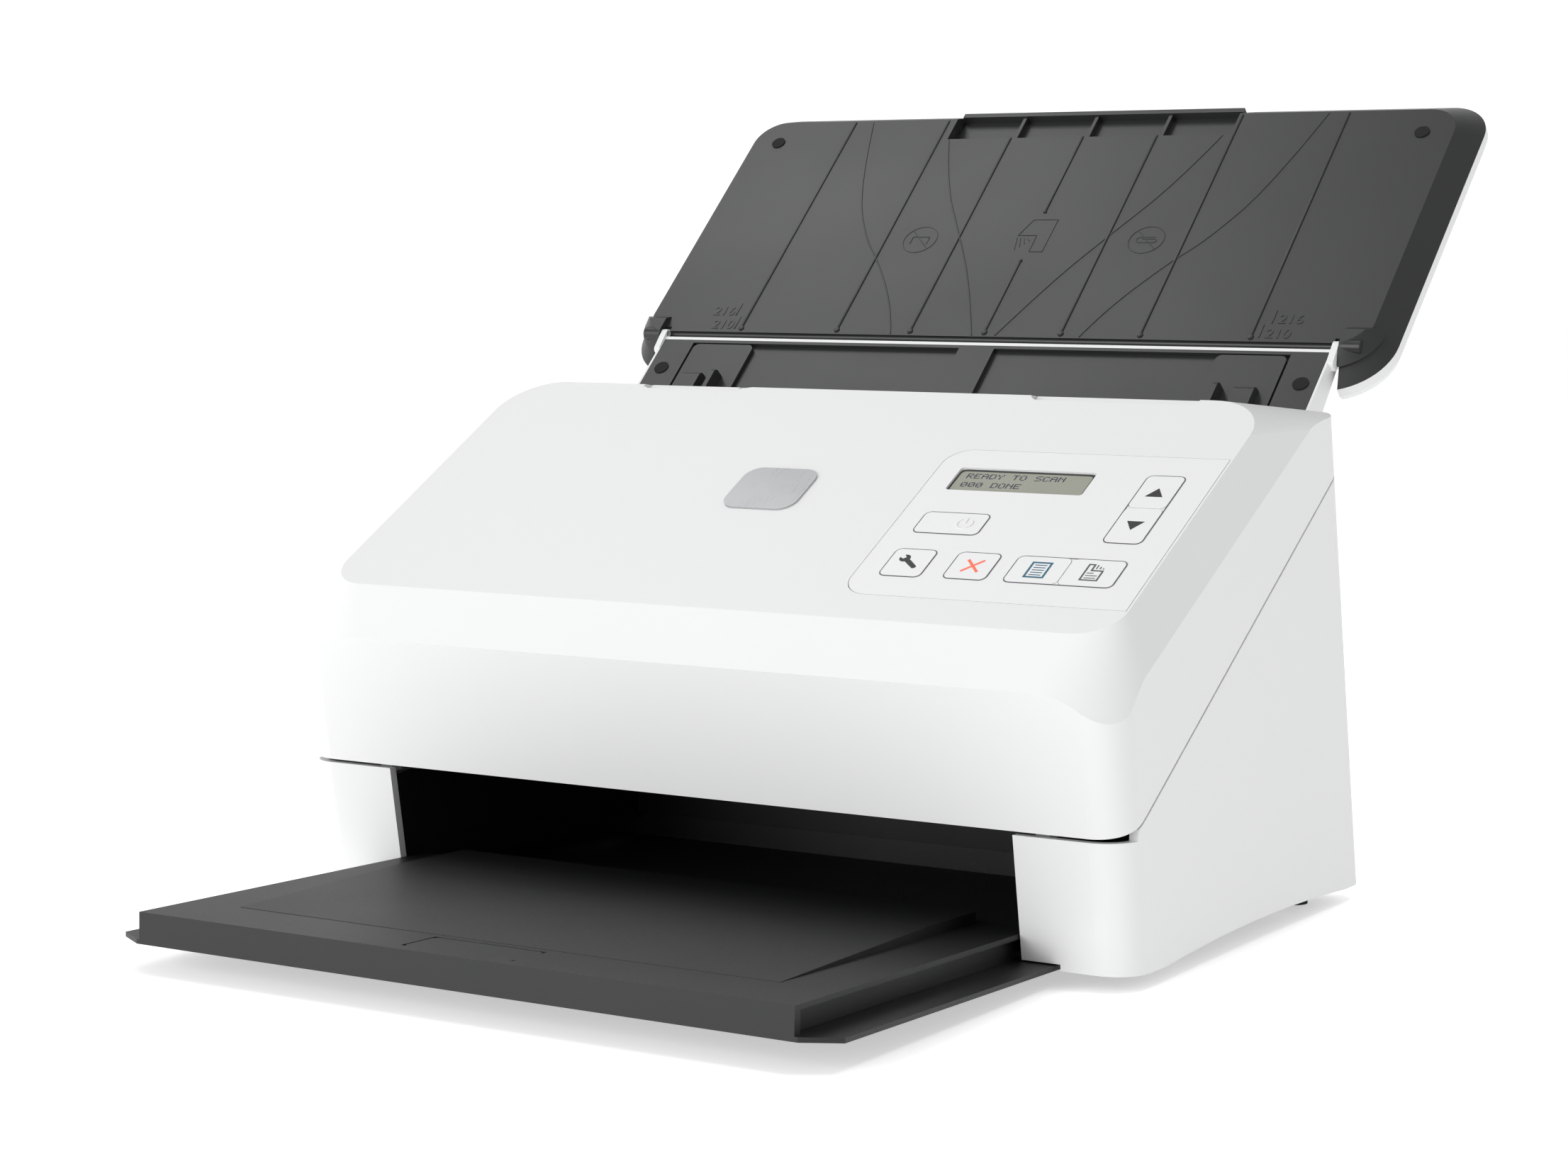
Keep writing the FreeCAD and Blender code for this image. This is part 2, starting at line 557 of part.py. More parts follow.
def build_electronics():
    """The main board with its sockets behind the rear wall."""
    board = block("board_blank", BODY, (-105, 157.0, 13), (170, 1.6, 62))
    case = block("dc_case", BODY, (-91.5, 158.7, 27.5), (12, 13.6, 12))
    bore = doc.addObject("Part::Cylinder", "dc_bore")
    bore.Radius = 2.8
    bore.Height = 12
    back = FreeCAD.Rotation(FreeCAD.Vector(1, 0, 0), -90)
    bore.Placement = at(BODY, -85.5, 162.3, 33.5, back)
    core = doc.addObject("Part::Cylinder", "dc_core")
    core.Radius = 1.0
    core.Height = 9
    core.Placement = at(BODY, -85.5, 162.0, 33.5, back)
    node("dc_jack", fuse("dc_jack", [cut("dc_socket", case, [bore]), core]))
    usb = block("usb_case", BODY, (-59.5, 158.7, 28.5), (11, 13.6, 10))
    mouth = block("usb_mouth", BODY, (-58, 163, 30), (8, 14, 7))
    tongue = block("usb_tongue", BODY, (-57, 162, 32.2), (6, 9, 2.4))
    node("usb_port", fuse("usb_port", [cut("usb_socket", usb, [mouth]), tongue]))
    chips = [block(f"board_chip{i}", BODY, (x, 155.2, z), (w, 1.9, h))
             for i, (x, z, w, h) in enumerate(((-60, 36, 22, 22), (-20, 40, 14, 20), (10, 28, 18, 12),
                                               (-95, 50, 12, 16)))]
    node("main_board", fuse("main_board", [board] + chips))


# ---------------------------------------------------------------- hatch
KEYS = {
    "power_key": (57.0, 48.0, 80.0, 59.4),
    "tools_key": (57.0, 23.7, 71.3, 38.2),
    "cancel_key": (79.5, 24.2, 94.0, 38.2),
    "simplex_key": (100.5, 24.2, 118.65, 38.0),
    "duplex_key": (119.0, 24.2, 137.2, 38.0),
    "down_key": (124.0, 47.9, 136.8, 67.0),
    "up_key": (124.0, 67.35, 136.8, 85.4),
}
DISPLAY = (56.6, 72.8, 105.7, 86.0)
PANEL = (48.0, 12.9, 96.7)
PANEL_EDGE = 147.3
KEY_GAP = 0.35


def build_hatch():
    """The hinged front hatch with the slanted face and the upper half of the paper path."""
    outer = common("hatch_outer", wall_block("hatch_walls", 0.0), hatch_form("hatch_form", 0.0))
    solid = common("hatch_solid", outer, above_split("hatch_split", V.hatch_gap))
    inner = common("hatch_hollow", wall_block("hatch_inner_walls", V.wall),
                   hatch_form("hatch_inner_form", V.wall))
    low, start, end = PANEL
    panel_seat = plate("panel_seat", FACE, [[(low, start, 9), (PANEL_EDGE, start), (PANEL_EDGE, end),
                                             (low, end, 9)]], 20, -1.8)
    key_well = plate("key_well", FACE, [rectangle(53, 19.5, 141, 92, 3)], 20, -15)
    slope = math.radians(V.tray_tilt)
    slot_low = [(120, 100), (126, 136.6), (132, 142.0)]
    bed_line = lambda depth, lift: V.tray_height + (depth - V.tray_depth) * math.tan(slope) + lift
    slot = profile("hatch_slot", BODY, slot_low + [(160, bed_line(160, 6.2)), (160, 100)],
                   2 * (V.bed_half + 5.6))
    lever_seat = plate("lever_seat", FACE, [[(61, 128.2, 4), (123, 128.2, 4), (123, 150), (61, 150)]],
                       20, -6.0)
    grip = plate("grip_seat", FACE, [[(-93, 128.6, 1), (-52, 128.6, 4), (-52, 146), (-93, 146)]],
                 20, -1.7)
    wedge = [(-56, 129.2), (-47.5, 131.4), (-47.5, 142), (-56, 142)]
    grip_ends = [plate("grip_slit", FACE, [rectangle(-94.3, 129.4, -92.8, 146)], 20, -2.6),
                 plate("grip_wedge", FACE, [wedge], 20, -2.6)]
    ear_pockets = [block(f"ear_pocket_{side}", BODY, (start, -7.5, 40), (5.7, 14, 17.5))
                   for side, start in (("right", 121.9), ("left", -127.6))]
    openings = [inner, panel_seat, key_well, slot, lever_seat, grip] + grip_ends + ear_pockets
    shell = cut("hatch_open", solid, openings)
    bosses = []
    for side, spans in (("right", ((119.4, 121.8), (127.7, 131.0))),
                        ("left", ((-121.8, -119.4), (-131.0, -127.7)))):
        for index, (first, last) in enumerate(spans):
            bosses.append(block(f"boss_{side}{index}", BODY, (first, -6.6, 49.6),
                                (last - first, 4.2, 6.0)))
    pin_hole = rod("hatch_pin_hole", BODY, -131.5, V.hatch_pin_depth, V.hatch_pin_height,
                   V.pin_radius + 0.05, 263)
    node("hatch_shell", cut("hatch_shell", fuse("hatch_bossed", [shell] + bosses), [pin_hole]))

    right = PANEL_EDGE - 0.25
    sheet_outline = [[(low + 0.25, start + 0.25, 8.8), (right, start + 0.25), (right, end - 0.25),
                      (low + 0.25, end - 0.25, 8.8)]]
    holes = [rectangle(*DISPLAY, 1.2)]
    for x0, s0, x1, s1 in KEYS.values():
        holes.append(rectangle(x0 - KEY_GAP / 2, s0 - KEY_GAP / 2, x1 + KEY_GAP / 2, s1 + KEY_GAP / 2, 2.2))
    blank = plate("panel_blank", FACE, sheet_outline, 1.8, -1.75)
    cutters = [plate(f"panel_hole{i}", FACE, [hole], 6, -4) for i, hole in enumerate(holes)]
    trimmed = cut("panel_cut", blank, cutters)
    node("control_panel", common("control_panel", trimmed, outer))

    for name, (x0, s0, x1, s1) in KEYS.items():
        cap = plate(f"{name}_cap", FACE, [rectangle(x0, s0, x1, s1, 2.0)], 2.35, -2.2)
        skirt = plate(f"{name}_skirt", FACE, [rectangle(x0, s0, x1, s1, 1.0)], 1.6, -3.8)
        stem = post(f"{name}_stem", FACE, (x0 + x1) / 2, (s0 + s1) / 2, -6.2, 1.5, 2.4)
        node(name, fuse(name, [cap, skirt, stem]))

    x0, s0, x1, s1 = DISPLAY
    glass = rectangle(x0 + 0.1, s0 + 0.1, x1 - 0.1, s1 - 0.1, 1.1)
    window = plate("display_window", FACE, [glass], 0.9, -1.7)
    node("display_window", window)
    module = block("display_module", FACE, (x0 - 1.6, s0 - 1.5, -6.2), (x1 - x0 + 3.2, s1 - s0 + 3.0, 4.4))
    node("display_module", module)
    board = block("control_blank", FACE, (50, 17, -9.0), (92, 76, 1.6))
    switches = [block(f"{name}_switch", FACE, ((a + c) / 2 - 3, (b + d) / 2 - 3, -7.45), (6, 6, 0.5))
                for name, (a, b, c, d) in KEYS.items()]
    node("control_board", fuse("control_board", [board] + switches))
    badge = plate("badge", FACE, [rectangle(-21, 56, 7, 80, 6.0)], 0.6, 0.02)
    node("badge", badge)

    upper = [(34, 2.2), (158, 2.2), (171.5, 5.8), (170.2, 8.2), (157, 4.6), (34, 4.6)]
    guide = profile("upper_guide_plate", PATH, upper, 2 * GUIDE_HALF)
    windows = [block("upper_scan_window", PATH, (-113.2, UPPER_SCAN_U - 9.2, -2), (226.4, 18.4, 12))]
    rollers = {
        "separation_roller": (FEED_U, 11.2, 10.2, [(-31, -9), (9, 31)], 44.0),
        "drive_pinch": (DRIVE_U, 7.4, 6.4, [(-88, -68), (-40, -20), (20, 40), (68, 88)], 100.0),
        "exit_pinch": (EXIT_U, 7.4, 6.4, [(-88, -68), (-40, -20), (20, 40), (68, 88)], 100.0),
    }
    supports = []
    for name, (u, w, radius, spans, reach) in rollers.items():
        shaft, tyres = roller_set(name, PATH, u, w, radius, spans, reach)
        if name == "separation_roller":
            node(f"{name}_shaft", shaft)
            node(f"{name}_tyres", tyres)
        else:
            node(f"{name}_rollers", fuse(f"{name}_whole", [shaft, tyres]))
        for index, (first, last) in enumerate(spans):
            windows.append(block(f"{name}_window{index}", PATH, (first - 1, u - radius, -2),
                                 (last - first + 2, 2 * radius, 14)))
        for sign in (-1, 1):
            low = reach - 3.0 if sign > 0 else -reach
            cheek = block(f"{name}_cheek{sign + 1}", PATH, (low, u - 5, 4.5), (3.0, 10, w + 1.0))
            bore = rod(f"{name}_cheek_bore{sign + 1}", PATH, low - 1, u, w, V.shaft_radius + 0.06, 5)
            supports.append(cut(f"{name}_cheek_cut{sign + 1}", cheek, [bore]))
    drilled = cut("upper_guide_cut", guide, windows)
    bores = [rod(f"guide_bore{i}", PATH, -reach - 1, u, w, V.shaft_radius + 0.06, 2 * reach + 2)
             for i, (u, w, _, _, reach) in enumerate(rollers.values())]
    upper_guide = fuse("upper_guide_all", [drilled] + supports)
    node("upper_paper_guide", cut("upper_paper_guide", upper_guide, bores))
    node("upper_scan_glass", block("upper_scan_glass", PATH, (-113, UPPER_SCAN_U - 9, 1.8), (226, 18, 1.2)))
    node("upper_scan_bar", block("upper_scan_bar", PATH, (-113, UPPER_SCAN_U - 9, 3.0), (226, 18, 12.0)))

    lever = plate("lever_strip", FACE, [rectangle(61.4, 128.6, 122.6, 138.4, 3.6)], 2.6, -5.2)
    node("release_lever", common("release_lever", lever, outer))


# ---------------------------------------------------------------- input tray
def tray_form(name, inset, lift=0.0):
    """The tapered outline of the input tray from its rim to its flat surface, moved forwards by lift."""
    depth = V.tray_rim
    front = rectangle(-V.tray_half + inset, -1 + inset, V.tray_half - inset, V.tray_length - inset, 12)
    rim_half = V.half_width - inset
    rim = [(-rim_half, -13 + inset, 22), (rim_half, -13 + inset, 22), (rim_half, 132 - inset, 16),
           (-rim_half, 132 - inset, 16)]
    return loft(name, TRAY, [(rim, lift - depth), (front, lift - inset)])


def build_tray():
    """The folding input tray: dark panel, white back shell, bumpers and extension."""
    outer = tray_form("tray_outer", 0.0)
    inner = loft("tray_inner", TRAY, [
        (rectangle(-152, 9, 152, 129, 12), -V.tray_rim),
        (rectangle(-144.5, 8.5, 144.5, 117.5, 9), -3.2)])
    lane = V.hinge_lane
    gap = block("tray_gap", TRAY, (-lane, -40, -40), (2 * lane, 40, 60))
    ear_notch = mirrored_blocks("tray_notch", TRAY, (136.2, -1, -20), (lane - 136.2, 4.4, 30))
    recess = block("tray_recess", TRAY, (-58.9, 109.3, -12), (119.9, 40, 20))
    pin_hole = rod("tray_pin_hole", TRAY, -145.45, 0, -V.tray_pivot, V.tray_pin + 0.05, 290.9)
    lip = block("tray_lip_low", TRAY, (-lane, -1, -20), (2 * lane, 3.4, 16.8))
    bosses = [rod(f"tray_boss{i}", TRAY, low, 0, -V.tray_pivot, 2.4, 7.4)
              for i, low in enumerate((lane, -lane - 7.4))]
    raised = tray_form("ear_form", 0.0, V.ear_lift)
    cover = [(-13, -3), (-13, 4), (3.6, 4), (8.9, 0), (8.9, -3)]
    covers = [common(f"ear_cover{i}", raised, profile(f"ear_wedge{i}", TRAY, cover, 17, start))
              for i, start in enumerate((lane, -lane - 17))]
    panel = cut("tray_shell", outer, [inner, gap, recess, lip] + ear_notch)
    hinge_edge = rod("tray_hinge_edge", TRAY, -136.0, 0, -1.6, 1.6, 272.0)
    whole_panel = fuse("tray_panel_whole", [panel, hinge_edge] + covers + bosses)
    node("tray_panel", cut("tray_panel", whole_panel, [pin_hole]))

    def rim(inset):
        side, foot, top = V.half_width - inset, -13 + inset, 132 - inset
        return [(-side, foot, 22 - inset), (side, foot, 22 - inset), (side, top, 16 - inset),
                (-side, top, 16 - inset)]

    back_deep = 15.0
    rim_part = loft("back_rim", TRAY, [(rim(1.2), -back_deep), (rim(0), -12.5)])
    band = plate("back_band", TRAY, [rim(0)], 12.5 - V.tray_rim - 0.05, -12.5)
    back_inner = plate("back_hollow", TRAY, [[(-152.5, 9, 12), (152.5, 9, 12), (152.5, 129.5, 12),
                                              (-152.5, 129.5, 12)]], 6, -12.7)
    back_gap = block("back_gap", TRAY, (-lane, -40, -40), (2 * lane, 43.5, 60))
    node("tray_back", cut("tray_back", fuse("back_whole", [rim_part, band]), [back_inner, back_gap]))

    bumpers = [post(f"tray_bumper{i}", TRAY, x, 108.6, 0.02, 2.8, 0.4) for i, x in enumerate((-136, 136))]
    node("tray_bumpers", fuse("tray_bumpers", bumpers))

    sheet_plate = plate("extension_plate", TRAY, [[(-58.5, 24, 3), (60.6, 24, 3), (60.6, 126.5, 1.5),
                                                   (-58.5, 126.5, 1.5)]], 2.4, -7.4)
    ribs = [block(f"extension_rib{i}", TRAY, (x - 0.7, 110.5, -5.1), (1.4, 13.5, 2.6))
            for i, x in enumerate((-31, 0, 31))]
    lip = block("extension_lip", TRAY, (-58.5, 124.0, -5.1), (119.1, 2.2, 3.2))
    node("tray_extension", fuse("tray_extension", [sheet_plate, lip] + ribs))


# ---------------------------------------------------------------- output tray
def build_output():
    """The output tray that slides out under the housing, with its paper stop."""
    half, flange, length = V.out_half, V.out_flange, V.out_length
    bottom = [(-118.6, 0), (118.6, 0), (flange, 6.8), (flange, length), (-flange, length), (-flange, 6.8)]
    floor = plate("out_floor", OUT, [bottom], 1.5, 0.0)
    deck_size = ("2 * Dims.out_half", "Dims.out_length", 1.6)
    deck = block("out_deck", OUT, (-half, 0, V.out_thick - 1.6), deck_size)
    front = block("out_front_wall", OUT, (-half, 0, 1.0), ("2 * Dims.out_half", 3.0, 8.0))
    webs = mirrored_blocks("out_web", OUT, (112.6, 0, 1.0), (2.0, V.out_length, 8.0))
    posts = mirrored_blocks("out_corner", OUT, (114.0, 0, 1.0), (V.out_half - 114.0, 2.2, 8.0))
    ramp = profile("out_ramp", OUT, [(24, 9.4), (137, 9.4), (137, 13.4), (110, 13.4), (24, 10.1)], 196)
    stop_well = block("stop_well", OUT, (-20.3, 5.0, 8.0), (40.6, 16.4, 6))
    solid = fuse("out_solid", [floor, deck, front, ramp] + webs + posts)
    node("output_tray", cut("output_tray", solid, [stop_well]))
    stop = plate("stop_flap", OUT, [rectangle(-20, 5.3, 20, 21.1, 2.5)], 1.4, 8.5)
    node("paper_stop", stop)


build_base()
build_bed()
build_drive()
build_electronics()
build_hatch()
build_tray()
build_output()
doc.recompute()

for item in doc.Objects:
    if "Invalid" in item.State or "Error" in item.State:
        raise RuntimeError(f"{item.Name} did not recompute: {item.State}")
os.makedirs("parts", exist_ok=True)
for feature in NODES:
    shape = feature.Shape
    if shape.isNull() or not shape.isValid() or not shape.Solids:
        raise RuntimeError(f"{feature.Label} has no valid solid")
    shape.exportStep(f"parts/{feature.Label}.step")
    box = shape.BoundBox
    print(f"{feature.Label}: {len(shape.Solids)} solids, {shape.Volume:.0f} mm3, "
          f"x {box.XMin:.1f}..{box.XMax:.1f} y {box.YMin:.2f}..{box.YMax:.2f} z {box.ZMin:.2f}..{box.ZMax:.2f}")
print(len(NODES), "nodes")
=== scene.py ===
"""A sheet fed document scanner: the finishes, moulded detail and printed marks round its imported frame."""

import logging
import math
from dataclasses import dataclass
from enum import Enum
from typing import Callable, Iterable, Sequence

import bpy
from mathutils import Matrix, Vector


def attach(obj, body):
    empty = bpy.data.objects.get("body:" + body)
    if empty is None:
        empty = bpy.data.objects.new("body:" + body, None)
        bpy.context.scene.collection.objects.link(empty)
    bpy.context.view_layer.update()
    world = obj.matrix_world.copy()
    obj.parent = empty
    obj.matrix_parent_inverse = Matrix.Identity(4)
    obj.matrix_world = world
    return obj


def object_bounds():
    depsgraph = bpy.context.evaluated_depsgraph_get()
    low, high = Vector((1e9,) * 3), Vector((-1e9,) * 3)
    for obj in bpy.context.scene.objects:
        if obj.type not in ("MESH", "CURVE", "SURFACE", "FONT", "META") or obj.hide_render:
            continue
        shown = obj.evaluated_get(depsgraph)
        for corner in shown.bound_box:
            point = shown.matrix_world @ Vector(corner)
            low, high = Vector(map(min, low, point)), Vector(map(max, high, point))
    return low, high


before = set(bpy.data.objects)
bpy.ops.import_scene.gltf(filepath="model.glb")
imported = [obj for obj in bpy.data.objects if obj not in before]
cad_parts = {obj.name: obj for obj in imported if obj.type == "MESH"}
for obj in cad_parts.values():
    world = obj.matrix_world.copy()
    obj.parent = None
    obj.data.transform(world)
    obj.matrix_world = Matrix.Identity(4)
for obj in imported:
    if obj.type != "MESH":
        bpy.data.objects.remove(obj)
CAD_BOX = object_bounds()

log = logging.getLogger("scanner")

MM = 0.001

Point = tuple[float, float]
Colour = tuple[float, float, float]
Loop = Sequence[Point]


# ---------------------------------------------------------------- shader graphs


class Wire:
    """A socket of a material's graph that takes Python's operators."""

    def __init__(self, graph: "Graph", socket: bpy.types.NodeSocket) -> None:
        """Keeps the graph to add Math nodes to, and the socket to read."""
        self.graph = graph
        self.socket = socket

    def _maths(self, operation: str, first: "Wire | float", second: "Wire | float") -> "Wire":
        """The result of one Math node on two values."""
        return self.graph.node("ShaderNodeMath", {"operation": operation}, {0: first, 1: second})

    def __add__(self, other: "Wire | float") -> "Wire":
        """self + other."""
        return self._maths("ADD", self, other)

    __radd__ = __add__

    def __mul__(self, other: "Wire | float") -> "Wire":
        """self * other."""
        return self._maths("MULTIPLY", self, other)

    __rmul__ = __mul__

    def __sub__(self, other: "Wire | float") -> "Wire":
        """self - other."""
        return self._maths("SUBTRACT", self, other)

    def __rsub__(self, other: float) -> "Wire":
        """other - self."""
        return self._maths("SUBTRACT", other, self)

    def __gt__(self, other: "Wire | float") -> "Wire":
        """1 where self is above other, else 0."""
        return self._maths("GREATER_THAN", self, other)

    def __mod__(self, other: float) -> "Wire":
        """self modulo other, never negative."""
        return self._maths("FLOORED_MODULO", self, other)


class Graph:
    """The node graph of one material, round its Principled shader."""

    def __init__(self, name: str) -> None:
        """Makes an empty material of that name."""
        self.material = bpy.data.materials.new(name)
        self.material.use_nodes = True
        self.tree = self.material.node_tree
        self.shader = self.tree.nodes["Principled BSDF"]
        self.place = self.node("ShaderNodeTexCoord", output="Object")

    def node(
        self,
        kind: str,
        settings: dict | None = None,
        values: dict | None = None,
        output: str | int = 0,
    ) -> Wire:
        """Adds a node.

        Args:
            kind: the node's type.
            settings: its properties, which are set first.
            values: what goes into its sockets, numbers, colours or wires, by name or number.
            output: the output that the wire reads.

        Returns:
            The wire from that output.
        """
        made = self.tree.nodes.new(kind)
        for key, value in (settings or {}).items():
            setattr(made, key, value)
        for key, value in (values or {}).items():
            self.feed(made.inputs[key], value)
        return Wire(self, made.outputs[output])

    def feed(self, socket: bpy.types.NodeSocket, value: object) -> None:
        """Links a wire to a socket, or sets its value."""
        if isinstance(value, Wire):
            self.tree.links.new(value.socket, socket)
        elif socket.type == "RGBA":
            socket.default_value = (*value, 1.0)
        else:
            socket.default_value = value

    def surface(self, **values: object) -> None:
        """Feeds the shader's sockets; an underscore in a name stands for a space."""
        for key, value in values.items():
            self.feed(self.shader.inputs[key.replace("_", " ").title().replace("Ior", "IOR")], value)

    def noise(self, size: float, detail: float = 2.0, at: Wire | None = None) -> Wire:
        """Noise from 0 to 1 whose blotches are about size metres across."""
        values = {"Vector": at or self.place, "Scale": 1 / size, "Detail": detail}
        return self.node("ShaderNodeTexNoise", None, values)

    def stretched(self, scale: Sequence[float]) -> Wire:
        """Object coordinates scaled along the axes."""
        values = {"Vector": self.place, "Scale": Vector(scale)}
        return self.node("ShaderNodeMapping", {"vector_type": "POINT"}, values)

    def blend(self, mask: Wire, low: Colour | Wire, high: Colour) -> Wire:
        """The colour low where mask is 0 and high where it is 1."""
        values = {"Factor": mask, "A": low, "B": high}
        made = self.tree.nodes.new("ShaderNodeMix")
        made.data_type = "RGBA"
        for socket in made.inputs:
            if socket.enabled and socket.name in values:
                self.feed(socket, values[socket.name])
        return Wire(self, next(s for s in made.outputs if s.enabled))

    def bump(self, height: Wire, depth: float) -> Wire:
        """A normal from a height of 0 to 1 that stands for depth metres."""
        return self.node("ShaderNodeBump", None, {"Height": height, "Distance": depth, "Strength": 1.0})


def shade(colour: Colour, by: float) -> Colour:
    """The colour with its light scaled by a number."""
    return tuple(min(1.0, part * by) for part in colour)


# ---------------------------------------------------------------- finishes


class Texture(Enum):
    """The mould's texture: how wide its grains are and how deep, in metres."""

    GLOSS = (0.0022, 0.0000012)
    SATIN = (0.00042, 0.0000045)
    SPARK = (0.00055, 0.000013)
    PEBBLE = (0.0008, 0.00003)

    @property
    def width(self) -> float:
        """Width of a grain."""
        return self.value[0]

    @property
    def depth(self) -> float:
        """Depth of a grain."""
        return self.value[1]


@dataclass(frozen=True)
class MouldedPlastic:
    """Injection moulded plastic: a fine mould texture, faint flow clouds and uneven sheen."""

    colour: Colour
    roughness: float
    texture: Texture
    clouds: float = 0.03
    flow: float = 0.07
    glow: float = 0.0

    def paint(self, graph: Graph) -> None:
        """Builds the graph."""
        grains = graph.noise(self.texture.width, 3.0)
        flow = graph.noise(self.flow, 3.0)
        tone = flow * 0.7 + grains * 0.3
        low, high = shade(self.colour, 1 - self.clouds), shade(self.colour, 1 + self.clouds)
        graph.surface(
            base_color=graph.blend(tone, low, high),
            roughness=flow * 0.1 + grains * 0.12 + (self.roughness - 0.11),
            normal=graph.bump(grains, self.texture.depth),
            ior=1.5,
            emission_color=(1.0, 1.0, 1.0),
            emission_strength=self.glow,
        )


@dataclass(frozen=True)
class Rubber:
    """Matt rubber with a fine tooth, dusty in the hollows."""

    colour: Colour
    roughness: float = 0.82
    tooth: float = 0.00035
    ridges: float = 0.0

    def paint(self, graph: Graph) -> None:
        """Builds the graph."""
        tooth = graph.noise(self.tooth, 4.0)
        dust = graph.noise(0.012, 2.0)
        height = tooth
        if self.ridges:
            wave = {"wave_type": "BANDS", "bands_direction": "X", "wave_profile": "SIN"}
            bands = graph.node("ShaderNodeTexWave", wave, {"Vector": graph.place, "Scale": self.ridges})
            height = tooth * 0.4 + bands * 0.6
        graph.surface(
            base_color=graph.blend(dust * tooth * 2.0, self.colour, shade(self.colour, 1.8)),
            roughness=dust * 0.12 + (self.roughness - 0.06),
            normal=graph.bump(height, 0.00004),
            specular_ior_level=0.3,
        )


@dataclass(frozen=True)
class Metal:
    """Bare metal with a grain drawn along one axis by the grinding or the turning."""

    colour: Colour
    roughness: float
    grain: tuple[float, float, float]
    depth: float = 0.000002

    def paint(self, graph: Graph) -> None:
        """Builds the graph."""
        lines = graph.noise(1.0, 3.0, graph.stretched(self.grain))
        tarnish = graph.noise(0.02, 2.0)
        graph.surface(
            base_color=graph.blend(lines * 0.6 + tarnish * 0.4, shade(self.colour, 0.86), self.colour),
            metallic=1.0,
            roughness=lines * 0.16 + tarnish * 0.08 + (self.roughness - 0.12),
            normal=graph.bump(lines, self.depth),
        )


@dataclass(frozen=True)
class ZincSheet:
    """Galvanised sheet with a spangle of zinc crystals."""

    colour: Colour = (0.56, 0.58, 0.6)

    def paint(self, graph: Graph) -> None:
        """Builds the graph."""
        crystals = {"Vector": graph.place, "Scale": 1 / 0.006}
        spangle = graph.node("ShaderNodeTexVoronoi", {"feature": "F1"}, crystals, "Distance")
        fine = graph.noise(0.0006, 3.0)
        graph.surface(
            base_color=graph.blend(spangle, shade(self.colour, 0.75), self.colour),
            metallic=1.0,
            roughness=spangle * 0.2 + fine * 0.1 + 0.28,
            normal=graph.bump(spangle * 0.5 + fine * 0.5, 0.000006),
        )


@dataclass(frozen=True)
class DarkGlass:
    """The black glass strip over a scan bar, with a trace of wiping."""

    colour: Colour = (0.006, 0.008, 0.009)

    def paint(self, graph: Graph) -> None:
        """Builds the graph."""
        wiped = graph.noise(1.0, 2.0, graph.stretched((20.0, 260.0, 260.0)))
        graph.surface(
            base_color=graph.blend(wiped, self.colour, shade(self.colour, 2.5)),
            roughness=wiped * 0.1 + 0.02,
            normal=graph.bump(wiped, 0.0000004),
            coat_weight=1.0,
            coat_roughness=0.02,
            ior=1.52,
        )


@dataclass(frozen=True)
class CrystalDisplay:
    """A reflective liquid crystal panel: grey green, with a faint grid of cells."""

    colour: Colour = (0.33, 0.335, 0.275)
    cell: float = 0.0006

    def paint(self, graph: Graph) -> None:
        """Builds the graph."""
        split = {"Vector": graph.place}
        across = graph.node("ShaderNodeSeparateXYZ", None, split, "X")
        along = graph.node("ShaderNodeSeparateXYZ", None, split, "Y")
        columns = (across + 1.0) * (1 / self.cell) % 1.0 > 0.14
        rows = (along + 1.0) * (1 / (self.cell * 0.88)) % 1.0 > 0.14
        glow = graph.noise(0.02, 1.0)
        graph.surface(
            base_color=graph.blend(columns * rows * 0.5 + glow * 0.5, shade(self.colour, 0.86), self.colour),
            roughness=glow * 0.08 + 0.16,
            coat_weight=0.6,
            coat_roughness=0.04,
            ior=1.5,
        )


@dataclass(frozen=True)
class CircuitBoard:
    """Green solder mask over copper tracks, with tinned pads."""

    mask: Colour = (0.012, 0.09, 0.035)
    track: Colour = (0.03, 0.19, 0.07)
    pad: Colour = (0.62, 0.6, 0.55)

    def paint(self, graph: Graph) -> None:
        """Builds the graph."""
        bricks = {"Vector": graph.place, "Scale": 90.0, "Mortar Size": 0.05, "Brick Width": 0.9}
        tracks = graph.node("ShaderNodeTexBrick", {"offset": 0.5}, bricks, "Fac")
        cells = {"Vector": graph.place, "Scale": 210.0, "Randomness": 0.35}
        pads = 0.22 - graph.node("ShaderNodeTexVoronoi", {"feature": "F1"}, cells, "Distance") > 0.0
        green = graph.blend(tracks, self.mask, self.track)
        graph.surface(
            base_color=graph.blend(pads, green, self.pad),
            metallic=pads * 0.8,
            roughness=0.42 - tracks * 0.1,
            normal=graph.bump(tracks, 0.00003),
        )


@dataclass(frozen=True)
class Ink:
    """A pad printed mark, a little thin in places."""

    colour: Colour

    def paint(self, graph: Graph) -> None:
        """Builds the graph."""
        cover = graph.noise(0.0007, 3.0)
        graph.surface(
            base_color=graph.blend(cover, self.colour, shade(self.colour, 1.25)),
            roughness=cover * 0.15 + 0.4,
        )


Finish = MouldedPlastic | Rubber | Metal | ZincSheet | DarkGlass | CrystalDisplay | CircuitBoard | Ink


